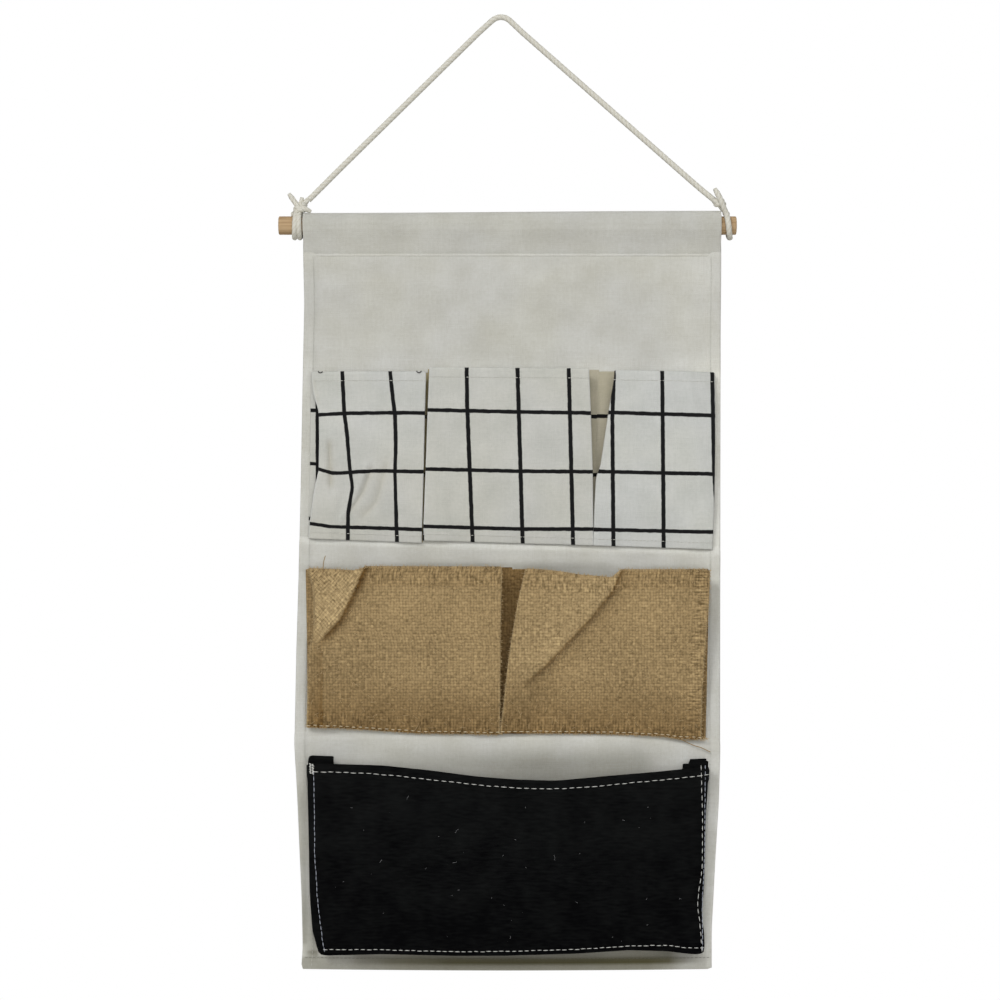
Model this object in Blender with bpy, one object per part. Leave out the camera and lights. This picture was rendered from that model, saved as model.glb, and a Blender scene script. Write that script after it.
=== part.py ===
"""Hanging pocket organizer: a canvas panel on a wooden dowel, with six sewn pockets.

Metres, +Z up, +X to the right of someone who faces the pockets, which open towards -Y.
The origin is the underside of the cord, where it lies on its nail.

The organizer is one dowel in the sleeve of a canvas panel, a cotton cord that loops round both
ends of the dowel, and three rows of pockets: three of grid canvas, two of burlap, and one wide
bellows pocket of denim. Each row is cut from one strip that is pleated between its pockets, and
each strip is split here at its folds: a front with the turned-back leaves of its pleats swings
on its bottom seam, and the rear leaves stay sewn to the panel.
"""

import math
from dataclasses import dataclass

import bmesh
import bpy
from mathutils import Matrix, Vector

# Clearances between cloth layers and between pieces that touch
touch_gap = 0.0003
fold_gap = 0.0004
pocket_gap = 0.0008

# Dowel
dowel_diameter = 0.015
dowel_overhang = 0.016
dowel_shift = -0.0032
dowel_end_bevel = 0.0009
dowel_drop = 0.1676
dowel_sides = 40
dowel_rings = 12

# Cord, its route over the nail from the left knot to the right one, and its knots
cord_diameter = 0.004
cord_point_spacing = 0.0095
cord_span_steps = 12
cord_panel_width = 0.340
cord_bevel_resolution = 2
cord_route = (
    (-0.15650, 0.0, -0.14690),
    (-0.15230, 0.0, -0.14285),
    (-0.13000, 0.0, -0.12055),
    (-0.10000, 0.0, -0.09110),
    (-0.07000, 0.0, -0.06166),
    (-0.04000, 0.0, -0.03220),
    (-0.01800, 0.0, -0.01060),
    (-0.00739, 0.0, -0.00102),
    (-0.00522, 0.0, 0.00062),
    (-0.00270, 0.0, 0.00165),
    (0.0, 0.0, 0.00200),
    (0.00251, 0.0, 0.00170),
    (0.00488, 0.0, 0.00080),
    (0.00697, 0.0, -0.00063),
    (0.01800, 0.0, -0.01103),
    (0.04000, 0.0, -0.03038),
    (0.07000, 0.0, -0.05675),
    (0.10000, 0.0, -0.08313),
    (0.13000, 0.0, -0.10951),
    (0.15300, 0.0, -0.12973),
    (0.16230, 0.0, -0.13780),
    (0.16860, 0.0, -0.14295),
    (0.17220, 0.0, -0.14585),
)
ball_radius_share = 0.5
knot_sides = 16
knot_rings = 10
loop_sides = 8
loop_steps = 24
left_knot_place = (-0.1625, -0.0004, -0.1525)
left_knot_width = 0.0106
left_knot_depth = 0.0086
left_knot_height = 0.0076
left_loop_places = (-0.1684, -0.1634)
left_tail_up_tip = (-0.1724, -0.0018, -0.1419)
left_tail_mid_tip = (-0.1619, 0.0016, -0.1452)
left_tail_right_tip = (-0.1550, -0.0028, -0.1551)
right_knot_place = (0.1775, 0.0, -0.1499)
right_knot_width = 0.0090
right_knot_depth = 0.0086
right_knot_height = 0.0098
right_loop_place = 0.1842
right_loop_lean = 0.0032
right_tail_root = (0.1784, -0.0026, -0.1490)
right_tail_tip = (0.1750, -0.0058, -0.1392)
tail_tip_diameter = 0.0030
tail_steps = 4

# Back panel: its canvas, hems and rod sleeve
canvas_thickness = 0.0012
panel_width = 0.340
panel_offset = 0.0085
panel_bottom_drop = 0.6035
side_hem_width = 0.0085
bottom_hem_width = 0.010
hem_step = 0.0006
hem_layers = 2
layers_to_front = 2.5
sharp_angle = 40
sleeve_height = 0.0415
sleeve_arch = 0.0014
sleeve_tip_rise = 0.001
seam_allowance = 0.007
left_edge_waver = 0.0069
right_edge_waver = 0.0080
left_edge_shares = (
    (0.0, 0.10),
    (0.18, 0.06),
    (0.38, -0.19),
    (0.46, -0.41),
    (0.58, -0.58),
    (0.706, -1.0),
    (0.78, -0.62),
    (0.845, -0.29),
    (0.912, 0.06),
    (1.0, -0.12),
)
right_edge_shares = ((0.0, 0.02), (0.66, 0.0), (0.76, -0.12), (0.86, -0.61), (0.953, -1.0), (1.0, -0.86))
panel_columns = 12
panel_rows = 14
sleeve_arc_steps = 10
sleeve_straight_steps = 2
ripple_height = 0.0022
ripple_waves = 5
ripple_clear_share = 0.34
hem_curl = 0.0020
hem_curl_waves = 3

# Layers under the pockets
seat_margin = 0.0005
seat_slope_width = 0.004

# Shares of a pocket's height at which its rows of points lie
row_shares = (0.0, 0.07, 0.16, 0.28, 0.42, 0.56, 0.70, 0.82)
leaf_step_shares = (0.0, 0.35, 0.70, 1.0)
fold_steps = 4
hem_columns = 6

# Grid canvas row
grid_thickness = 0.0010
grid_leaf_width = 0.016
grid_mouth_drop = 0.1194
grid_centre_rise = 0.0028
grid_left_heights = (0.1359, 0.1381)
grid_centre_heights = (0.1399, 0.1434)
grid_right_heights = (0.1408, 0.1438)
grid_mouth_depth = 0.012
grid_mouth_hem = 0.0080
grid_hem_extra = 0.0005
grid_seam_height = 0.009
grid_left_inset = 0.0085
grid_right_inset = 0.0052
grid_left_share = 0.2767
grid_centre_share = 0.4301
grid_left_lean = 0.0029
grid_centre_lean = 0.0040
grid_right_lean = 0.0130
grid_lean_from_share = 0.25
grid_facet_depth = 0.0035
grid_facet_width_share = 0.30
grid_facet_from_share = 0.30
grid_front_columns = 8

# Burlap row
jute_thickness = 0.0016
jute_leaf_width = 0.017
jute_mouth_drop = 0.2774
jute_left_heights = (0.1311, 0.1370)
jute_right_heights = (0.1370, 0.1395)
jute_mouth_depth = 0.017
jute_mouth_hem = 0.0120
jute_hem_extra = 0.0007
jute_seam_height = 0.010
jute_left_inset = 0.0029
jute_right_inset = 0.0069
jute_left_share = 0.4866
jute_left_lean = 0.0012
jute_right_lean = 0.0180
jute_right_draw = 0.0060
jute_draw_to_share = 0.65
jute_facet_depth = 0.008
jute_left_facet_width_share = 0.30
jute_left_facet_from_share = 0.47
jute_right_facet_width_share = 0.50
jute_right_facet_from_share = 0.23
jute_mouth_dip = 0.0055
jute_dip_from_share = 0.18
jute_dip_to_share = 0.56
jute_front_columns = 12

# Denim bellows pocket
denim_thickness = 0.0016
denim_leaf_width = 0.022
denim_tab_drop = 0.4323
denim_tab_rise = 0.0062
denim_height = 0.1536
denim_mouth_sag = 0.0118
denim_base_depth = 0.014
denim_mouth_depth = 0.021
denim_belly = 0.003
denim_belly_low_share = 0.15
denim_left_inset = 0.0053
denim_right_inset = 0.0097
denim_left_draw = 0.0045
denim_right_draw = 0.0052
denim_left_power = 1.3
denim_right_power = 0.7
denim_sag_power = 1.2
denim_top_row_share = 0.92
denim_corner_rise = 0.0045
denim_corner_width = 0.012
denim_flange = 0.0058
denim_front_columns = 16
denim_strip_sag = 0.002
denim_strip_columns = 10
denim_strip_middle_share = 0.45
gusset_steps = 6


# Places worked out from the sizes above
dowel_radius = dowel_diameter / 2
cord_radius = cord_diameter / 2
axis_z = -dowel_drop
hem_thickness = hem_layers * canvas_thickness
sleeve_radius = dowel_radius + touch_gap + hem_thickness
wall_y = sleeve_radius
panel_front_y = wall_y - canvas_thickness
hem_front_y = wall_y - hem_thickness
sleeve_top_z = axis_z + sleeve_radius + sleeve_arch
seam_z = sleeve_top_z - sleeve_height
panel_bottom_z = axis_z - panel_bottom_drop
panel_left = panel_offset - panel_width / 2
panel_right = panel_offset + panel_width / 2
panel_spread = (panel_width - cord_panel_width) / 2
dowel_length = panel_width + 2 * dowel_overhang
dowel_middle = panel_offset + dowel_shift
grid_row_left, grid_row_right = panel_left + grid_left_inset, panel_right - grid_right_inset
jute_row_left, jute_row_right = panel_left + jute_left_inset, panel_right - jute_right_inset
denim_left, denim_right = panel_left + denim_left_inset, panel_right - denim_right_inset
grid_mouth_z = axis_z - grid_mouth_drop
jute_mouth_z = axis_z - jute_mouth_drop
denim_tab_z = axis_z - denim_tab_drop
denim_mouth_z = denim_tab_z - denim_tab_rise
denim_bottom_z = denim_mouth_z - denim_height


def clear_scene():
    """Remove every object that the scene starts with."""
    for thing in list(bpy.data.objects):
        bpy.data.objects.remove(thing, do_unlink=True)


def finish(name, colour, roughness):
    """Make the plain material of one piece."""
    material = bpy.data.materials.new(name)
    material.use_nodes = True
    shader = material.node_tree.nodes["Principled BSDF"]
    shader.inputs["Base Color"].default_value = (*colour, 1.0)
    shader.inputs["Roughness"].default_value = roughness
    shader.inputs["Metallic"].default_value = 0.0
    return material


def place_mesh(name, mesh, material, parent=None, at=(0.0, 0.0, 0.0)):
    """Put a mesh in the scene as one named object, with its origin at a world place."""
    thing = bpy.data.objects.new(name, mesh)
    bpy.context.scene.collection.objects.link(thing)
    mesh.materials.append(material)
    mesh.transform(Matrix.Translation(-Vector(at)))
    if parent is None:
        thing.location = at
    else:
        thing.parent = parent
        thing.location = Vector(at) - parent.matrix_world.translation
    return thing


def joint_empty(name, at, parent=None):
    """Mark a joint's axis with an empty that carries the pieces that move on it."""
    thing = bpy.data.objects.new(name, None)
    thing.empty_display_size = cord_diameter
    bpy.context.scene.collection.objects.link(thing)
    if parent is not None:
        thing.parent = parent
        thing.location = Vector(at) - parent.matrix_world.translation
    else:
        thing.location = at
    bpy.context.view_layer.update()
    return thing


def mix(low, high, share):
    """The value that lies a share of the way from low to high."""
    return low + (high - low) * share


def read_shares(pairs, at):
    """Read a list of (share, value) pairs at one share, in straight steps."""
    if at <= pairs[0][0]:
        return pairs[0][1]
    for (low, first), (high, second) in zip(pairs, pairs[1:]):
        if at <= high:
            return mix(first, second, (at - low) / (high - low))
    return pairs[-1][1]


def smooth(share):
    """Ease a share from 0 to 1, level at both ends."""
    share = min(max(share, 0.0), 1.0)
    return share * share * (3 - 2 * share)


def opening(share):
    """How far a pocket stands open at a share of its height: fast above the seam, then even."""
    return 1 - (1 - share) ** 2


def mesh_from(name, points, faces):
    """Make a closed mesh with its faces pointing out."""
    mesh = bpy.data.meshes.new(name)
    mesh.from_pydata(points, [], faces)
    work = bmesh.new()
    work.from_mesh(mesh)
    bmesh.ops.recalc_face_normals(work, faces=work.faces)
    work.to_mesh(mesh)
    work.free()
    mesh.shade_smooth()
    mesh.set_sharp_from_angle(angle=math.radians(sharp_angle))
    return mesh


def cloth_mesh(name, rows, front_offset, back_offset):
    """Give a sheet its thickness.

    rows holds the middle surface, one list of points for each height. Its front is the side
    that points to -Y where the points of a row run towards +X. The two offsets are functions of
    row and column, so that a hem can stand proud.
    """
    height, width = len(rows), len(rows[0])
    fronts, backs = [], []
    for i in range(height):
        for j in range(width):
            here = rows[i][j]
            along = rows[i][min(j + 1, width - 1)] - here
            before = here - rows[i][max(j - 1, 0)]
            across = Vector((0, 0, 0))
            for step in (along, before):
                if step.length > 0:
                    across += step.normalized()
            rise = rows[min(i + 1, height - 1)][j] - rows[max(i - 1, 0)][j]
            out = across.cross(rise).normalized()
            fronts.append(here + out * front_offset(i, j))
            backs.append(here - out * back_offset(i, j))
    count = height * width
    faces = []
    for i in range(height - 1):
        for j in range(width - 1):
            a = i * width + j
            corners = (a, a + 1, a + width + 1, a + width)
            faces.append(corners)
            faces.append(tuple(count + c for c in reversed(corners)))
    border = [j for j in range(width)]
    border += [i * width + width - 1 for i in range(1, height)]
    border += [(height - 1) * width + j for j in range(width - 2, -1, -1)]
    border += [i * width for i in range(height - 2, 0, -1)]
    for first, second in zip(border, border[1:] + border[:1]):
        faces.append((second, first, count + first, count + second))
    return mesh_from(name, fronts + backs, faces)


def even_offset(thickness):
    """The offset function of a cloth that is equally thick all over."""
    return lambda row, column: thickness / 2


def tube_mesh(name, points, radii, sides):
    """A round tube along points with a radius at each, closed by flat ends."""
    rings = []
    for i, here in enumerate(points):
        heading = points[min(i + 1, len(points) - 1)] - points[max(i - 1, 0)]
        turn = heading.to_track_quat("Z", "Y")
        ring = []
        for k in range(sides):
            angle = 2 * math.pi * k / sides
            ring.append(here + turn @ Vector((math.cos(angle), math.sin(angle), 0)) * radii[i])
        rings.append(ring)
    faces = []
    for i in range(len(rings) - 1):
        for k in range(sides):
            a, b = i * sides + k, i * sides + (k + 1) % sides
            faces.append((a, b, b + sides, a + sides))
    last = (len(rings) - 1) * sides
    faces.append(tuple(reversed(range(sides))))
    faces.append(tuple(range(last, last + sides)))
    return mesh_from(name, [p for ring in rings for p in ring], faces)


def smooth_route(points, spacing):
    """Points at an even spacing along a smooth curve through the given ones."""
    knots = [Vector(p) for p in points]
    fine = []
    for i in range(len(knots) - 1):
        before = knots[max(i - 1, 0)]
        after = knots[min(i + 2, len(knots) - 1)]
        first, second = knots[i], knots[i + 1]
        span = (second - first).length
        lead = (second - before).normalized() * span
        follow = (after - first).normalized() * span
        for k in range(cord_span_steps):
            t = k / cord_span_steps
            a, b = 2 * t**3 - 3 * t**2 + 1, t**3 - 2 * t**2 + t
            c, d = -2 * t**3 + 3 * t**2, t**3 - t**2
            fine.append(first * a + lead * b + second * c + follow * d)
    fine.append(knots[-1])
    lengths = [0.0]
    for first, second in zip(fine, fine[1:]):
        lengths.append(lengths[-1] + (second - first).length)
    count = max(2, round(lengths[-1] / spacing))
    route, k = [], 0
    for i in range(count + 1):
        want = lengths[-1] * i / count
        while k < len(fine) - 2 and lengths[k + 1] < want:
            k += 1
        span = lengths[k + 1] - lengths[k]
        route.append(fine[k].lerp(fine[k + 1], (want - lengths[k]) / span))
    return route


def panel_edge(z, right):
    """Where the panel's left or right edge is at a height: the hems waver a little."""
    share = (sleeve_top_z - z) / (sleeve_top_z - panel_bottom_z)
    if right:
        return panel_right + right_edge_waver * read_shares(right_edge_shares, share)
    return panel_left + left_edge_waver * read_shares(left_edge_shares, share)


def panel_fold(x, z):
    """How far the panel's cloth stands forward of the wall: ripples above the pockets, a curled hem."""
    across = (x - panel_offset) / (panel_width / 2)
    fold = 0.0
    if grid_mouth_z < z < seam_z:
        down = (seam_z - z) / (seam_z - grid_mouth_z)
        side = smooth((abs(across) - ripple_clear_share) / (1 - ripple_clear_share))
        wave = 0.5 + 0.5 * math.cos(math.pi * ripple_waves * across)
        fold += ripple_height * side * wave * math.sin(math.pi * down) ** 2
    if z < denim_bottom_z:
        down = (denim_bottom_z - z) / (denim_bottom_z - panel_bottom_z)
        fold += hem_curl * down * (0.5 + 0.5 * math.cos(math.pi * hem_curl_waves * across))
    return fold


def sleeve_loop(radius, arch, start, end):
    """The sleeve's profile round the dowel, from a front seam point over the top to a back one.

    Points are (y, z) pairs: a straight run that leaves the round as its tangent, the round
    over the dowel, which the arch lifts, and a straight drop down the back.
    """
    away_y, away_z = start[0], start[1] - axis_z
    reach = math.hypot(away_y, away_z)
    heading = math.atan2(away_z, away_y)
    touch = heading - math.acos(radius / reach)
    if touch < 0:
        touch += 2 * math.pi
    profile = []
    tangent = (radius * math.cos(touch), axis_z + radius * math.sin(touch))
    for k in range(sleeve_straight_steps):
        share = k / sleeve_straight_steps
        profile.append((mix(start[0], tangent[0], share), mix(start[1], tangent[1], share)))
    for k in range(sleeve_arc_steps + 1):
        angle = mix(touch, 0.0, k / sleeve_arc_steps)
        lift = arch * max(math.sin(angle), 0.0)
        profile.append((radius * math.cos(angle), axis_z + radius * math.sin(angle) + lift))
    for k in range(1, sleeve_straight_steps + 1):
        share = k / sleeve_straight_steps
        profile.append((mix(radius, end[0], share), mix(axis_z, end[1], share)))
    return profile


def build_back_panel(material, parent, at):
    """The panel as one solid: a hemmed sheet whose top is folded into the dowel's sleeve."""
    columns = [(0.0, 0.0, hem_layers), (0.0, side_hem_width, hem_layers)]
    columns.append((0.0, side_hem_width + hem_step, 1))
    for k in range(1, panel_columns):
        columns.append((k / panel_columns, 0.0, 1))
    columns.append((1.0, -side_hem_width - hem_step, 1))
    columns += [(1.0, -side_hem_width, hem_layers), (1.0, 0.0, hem_layers)]
    low, high = panel_bottom_z + bottom_hem_width + hem_step, seam_z - seam_allowance - hem_step
    rows = [(panel_bottom_z, hem_layers), (low - hem_step, hem_layers)]
    rows += [(mix(low, high, k / panel_rows), 1) for k in range(panel_rows + 1)]
    rows.append((high + hem_step, hem_layers))

    points, outer_rings, inner_rings = [], [], []
    for share, shift, layers in columns:
        thickness = layers * canvas_thickness

        def place_x(z):
            return mix(panel_edge(z, False), panel_edge(z, True), share) + shift

        seam_thickness = hem_layers * thickness
        middle = 1 - abs(2 * share - 1)
        arch = sleeve_arch * smooth(2 * middle)
        back, front = [], []
        for z, row_layers in rows:
            x = place_x(z)
            fold = panel_fold(x, z)
            back.append((x, wall_y - fold, z))
            front.append((x, wall_y - fold - thickness * row_layers, z))
        outer = sleeve_loop(sleeve_radius, arch, (wall_y - seam_thickness, seam_z), (wall_y, seam_z))
        tip = (wall_y - thickness, seam_z + sleeve_tip_rise)
        inner = sleeve_loop(sleeve_radius - thickness, arch, tip, tip)[:-1]
        outer_ring = front + [(place_x(z), y, z) for y, z in outer] + back[::-1]
        outer_rings.append([len(points) + k for k in range(len(outer_ring))])
        points += outer_ring
        inner_rings.append([len(points) + k for k in range(len(inner))])
        points += [(place_x(z), y, z) for y, z in inner]

    faces = []
    for rings in (outer_rings, inner_rings):
        for first, second in zip(rings, rings[1:]):
            size = len(first)
            for k in range(size):
                after = (k + 1) % size
                faces.append((first[k], second[k], second[after], first[after]))
    depth = len(rows)
    loop_size = len(inner_rings[0]) + 1
    for outer, inner in ((outer_rings[0], inner_rings[0]), (outer_rings[-1], inner_rings[-1])):
        front, loop, back = outer[:depth], outer[depth : depth + loop_size], outer[depth + loop_size :]
        back = back[::-1]
        for k in range(depth - 1):
            faces.append((front[k], front[k + 1], back[k + 1], back[k]))
        faces.append((front[-1], loop[0], loop[-1], back[-1]))
        tip = inner[0]
        faces.append((loop[0], tip, loop[-1]))
        for k in range(loop_size - 1):
            inside = [inner[k], inner[(k + 1) % len(inner)]]
            faces.append((loop[k], loop[k + 1], inside[1], inside[0]))
    mesh = mesh_from("back_panel", points, faces)
    return place_mesh("back_panel", mesh, material, parent, at)


def seat_y(x):
    """The front of the panel under a piece sewn on at x, with room for the wavering side hems."""
    left = panel_left + left_edge_waver * max(v for _, v in left_edge_shares) + side_hem_width
    right = panel_right + right_edge_waver * min(v for _, v in right_edge_shares) - side_hem_width
    inside = min(x - left - seat_margin, right - seat_margin - x)
    return mix(hem_front_y, panel_front_y, min(max(inside / seat_slope_width, 0.0), 1.0))


def seat_breaks():
    """The places along the panel where the seat under sewn pieces changes level."""
    left = panel_left + left_edge_waver * max(v for _, v in left_edge_shares) + side_hem_width
    right = panel_right + right_edge_waver * min(v for _, v in right_edge_shares) - side_hem_width
    left, right = left + seat_margin, right - seat_margin
    return (left, left + seat_slope_width, right - seat_slope_width, right)


@dataclass
class Side:
    """One side edge of a pocket.

    x is where it is sewn down at the seam, lean how far it moves towards the pocket's middle
    at the mouth, and lean_from_share the share of the height where that starts. draw is how far
    the front's edge is pulled inwards at the seam, up to the share draw_to_share. facet_depth is
    how much nearer to the panel the side stands at the mouth, facet_width_share the share of the
    pocket's width that leans back towards it, and facet_from_share where the facet starts.
    """

    x: float
    lean: float = 0.0
    lean_from_share: float = 0.0
    draw: float = 0.0
    draw_to_share: float = 1.0
    facet_depth: float = 0.0
    facet_width_share: float = 0.0
    facet_from_share: float = 0.0


@dataclass
class Pocket:
    """A pleated pocket: a cloth front whose side edges turn back into the leaves of its pleats."""

    name: str
    thickness: float
    leaf_width: float
    left: Side
    right: Side
    mouth_z: float
    heights: tuple
    mouth_depth: float
    mouth_hem: float
    hem_extra: float
    seam_height: float
    front_columns: int
    mouth_dip: float = 0.0
    dip_from_share: float = 0.0
    dip_to_share: float = 0.0

    def seam_depth(self):
        """How far the front's middle lies ahead of the side hems at the bottom seam."""
        return 2 * touch_gap + fold_gap + layers_to_front * self.thickness

    def sewn_x(self, side, share):
        """Where a side's rear leaf is sewn to the panel at a share of the height."""
        way = 1 if side is self.left else -1
        rise = max(share - side.lean_from_share, 0.0) / (1 - side.lean_from_share)
        return side.x + way * side.lean * rise

    def edge_x(self, side, share):
        """Where the front's side edge is at a share of the height."""
        way = 1 if side is self.left else -1
        return self.sewn_x(side, share) + way * side.draw * max(1 - share / side.draw_to_share, 0.0)

    def facet(self, side, share):
        """How strongly a side's facet shows at a share of the height."""
        if side.facet_depth == 0.0:
            return 0.0
        return max(share - side.facet_from_share, 0.0) / (1 - side.facet_from_share)

    def depth(self, share, across):
        """How far the front's middle stands ahead of the side hems."""
        full = mix(self.seam_depth(), self.mouth_depth, opening(share))
        for side, away in ((self.left, across), (self.right, 1 - across)):
            strength = self.facet(side, share)
            if strength > 0:
                reach = side.facet_width_share * strength
                full -= side.facet_depth * strength * max(1 - away / reach, 0.0)
        return max(full, self.seam_depth())

    def height_at(self, across):
        """The pocket's height, which changes across it where its seam slants."""
        return mix(*self.heights, across)

    def place_z(self, share, across):
        """The height of a point of the front, with the dip of a slack mouth."""
        low = self.mouth_z - self.height_at(across)
        dip = 0.0
        if self.mouth_dip > 0 and self.dip_from_share < across < self.dip_to_share:
            middle = (across - self.dip_from_share) / (self.dip_to_share - self.dip_from_share)
            dip = self.mouth_dip * math.sin(math.pi * middle) ** 2 * share**3
        return mix(low, self.mouth_z, share) - dip

    def shares(self):
        """The shares of the height where the rows lie, with a close pair at the mouth hem."""
        height = max(self.heights)
        hem = 1 - self.mouth_hem / height
        return list(row_shares) + [hem - hem_step / height, hem, 1.0]

    def fold_radius(self):
        """The radius of the middle of the cloth at a turned-back edge."""
        return (self.thickness + fold_gap) / 2

    def inner_fold_depth(self, share, across):
        """How far ahead of the side hems the two leaves of a pleat meet."""
        low = 1.5 * touch_gap + self.thickness
        return mix(low, max(self.depth(share, across) / 2, low), opening(share))

    def leaf_end(self, side, share):
        """The free end of the turned-back leaf, as (inward reach, forward depth)."""
        across = 0.0 if side is self.left else 1.0
        ahead = self.inner_fold_depth(share, across) + touch_gap / 2 + self.thickness / 2
        gain = self.depth(share, across) - ahead
        run = math.sqrt(max(self.leaf_width**2 - gain**2, 0.0))
        return run, ahead

    def side_points(self, side, share):
        """The turned-back edge in plan at one height, from the leaf's end to the front's edge."""
        across = 0.0 if side is self.left else 1.0
        way = 1 if side is self.left else -1
        radius = self.fold_radius()
        edge = self.edge_x(side, share)
        run, ahead = self.leaf_end(side, share)
        front = self.depth(share, across)
        drop = max(front - ahead - 2 * radius, 0.0)
        slope = math.atan2(drop, run)
        points = [(edge + way * run, ahead)]
        for k in range(fold_steps + 1):
            turn = mix(math.pi - slope, 0.0, k / fold_steps)
            points.append(
                (edge + way * radius * (1 - math.sin(turn)), front - radius * (1 - math.cos(turn)))
            )
        return points

    def front_rows(self):
        """The front's middle surface, row by row, leaves and folds included."""
        rows = []
        for share in self.shares():
            row = []
            for x, depth in self.side_points(self.left, share):
                row.append(Vector((x, hem_front_y - depth, self.place_z(share, 0.0))))
            left, right = self.edge_x(self.left, share), self.edge_x(self.right, share)
            low, high = left + self.fold_radius(), right - self.fold_radius()
            for k in range(1, self.front_columns):
                x = mix(low, high, k / self.front_columns)
                across = (x - left) / (right - left)
                depth = self.depth(share, across)
                row.append(Vector((x, hem_front_y - depth, self.place_z(share, across))))
            for x, depth in reversed(self.side_points(self.right, share)):
                row.append(Vector((x, hem_front_y - depth, self.place_z(share, 1.0))))
            rows.append(row)
        return rows

    def axis_place(self):
        """The line at the bottom seam on which the front swings, at its middle."""
        x = (self.left.x + self.right.x) / 2
        low = self.mouth_z - max(self.heights)
        return (x, hem_front_y - self.seam_depth(), low)

    def build_front(self, material, panel):
        """The front with both leaves, on an empty at its bottom seam."""
        rows = self.front_rows()
        hem_row = len(rows) - 2
        turned = fold_steps + 1
        last = len(rows[0]) - 1

        def front_offset(row, column):
            proud = row >= hem_row and turned < column < last - turned
            return self.thickness / 2 + (self.hem_extra if proud else 0.0)

        mesh = cloth_mesh(self.name, rows, front_offset, even_offset(self.thickness))
        hinge = joint_empty(self.name + "_seam_line", self.axis_place(), panel)
        return place_mesh(self.name, mesh, material, hinge, self.axis_place())

    def rear_leaf_points(self, side, share):
        """The rear leaf of a side pleat in plan, from its seam to the inner fold."""
        across = 0.0 if side is self.left else 1.0
        way = 1 if side is self.left else -1
        end = self.inner_fold_depth(share, across) - touch_gap / 2 - self.thickness / 2
        run, _ = self.leaf_end(side, share)
        return self.sewn_x(side, share), self.edge_x(side, share) + way * run, end

    def build_hem(self, name, material, panel):
        """The bottom allowance turned under the front, sewn to the panel between the pleats."""
        clear = self.leaf_width + seat_margin + touch_gap
        top_share = self.seam_height / min(self.heights)
        low = max(self.left.x, self.edge_x(self.left, top_share)) + clear
        high = min(self.right.x, self.edge_x(self.right, top_share)) - clear
        places = [low] + [x for x in seat_breaks() if low < x < high] + [high]
        places = sorted(set(places + [mix(low, high, k / hem_columns) for k in range(1, hem_columns)]))
        rows = []
        for share in (0.0, 1.0):
            row = []
            for x in places:
                across = (x - self.left.x) / (self.right.x - self.left.x)
                z = self.mouth_z - self.height_at(across)
                y = seat_y(x) - touch_gap - self.thickness
                row.append(Vector((x, y, z + self.seam_height * share)))
            rows.append(row)
        mesh = cloth_mesh(name, rows, even_offset(2 * self.thickness), even_offset(2 * self.thickness))
        return place_mesh(name, mesh, material, panel, panel.matrix_world.translation)


def build_outer_pleat(name, pocket, side, material, panel):
    """The rear leaf at a row's outer end: from its seam on the side hem to the inner fold."""
    rows = []
    for share in pocket.shares():
        edge, inner, end = pocket.rear_leaf_points(side, share)
        across = 0.0 if side is pocket.left else 1.0
        seam = touch_gap + pocket.thickness / 2
        z = pocket.place_z(share, across)
        points = []
        for step in leaf_step_shares:
            depth = mix(seam, max(end, seam), step * step)
            points.append(Vector((mix(edge, inner, step), hem_front_y - depth, z)))
        rows.append(points if side is pocket.left else points[::-1])
    mesh = cloth_mesh(name, rows, even_offset(pocket.thickness), even_offset(pocket.thickness))
    return place_mesh(name, mesh, material, panel, panel.matrix_world.translation)


def build_divider(name, first, second, material, panel):
    """The two rear leaves between neighbouring pockets: a shallow valley sewn down its middle."""
    rows = []
    for share in first.shares():
        left_edge, left_inner, left_end = first.rear_leaf_points(first.right, share)
        right_edge, right_inner, right_end = second.rear_leaf_points(second.left, share)
        middle = (first.right.x + second.left.x) / 2
        z = (first.place_z(share, 1.0) + second.place_z(share, 0.0)) / 2
        sewn = touch_gap + first.thickness / 2
        row = []
        for step in leaf_step_shares[:0:-1]:
            level = mix(panel_front_y, hem_front_y, step)
            depth = mix(sewn, max(left_end, sewn), step)
            row.append(Vector((mix(middle, left_inner, step), level - depth, z)))
        row.append(Vector((middle, panel_front_y - sewn, z)))
        for step in leaf_step_shares[1:]:
            level = mix(panel_front_y, hem_front_y, step)
            depth = mix(sewn, max(right_end, sewn), step)
            row.append(Vector((mix(middle, right_inner, step), level - depth, z)))
        rows.append(row)
    mesh = cloth_mesh(name, rows, even_offset(first.thickness), even_offset(first.thickness))
    return place_mesh(name, mesh, material, panel, panel.matrix_world.translation)


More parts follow.
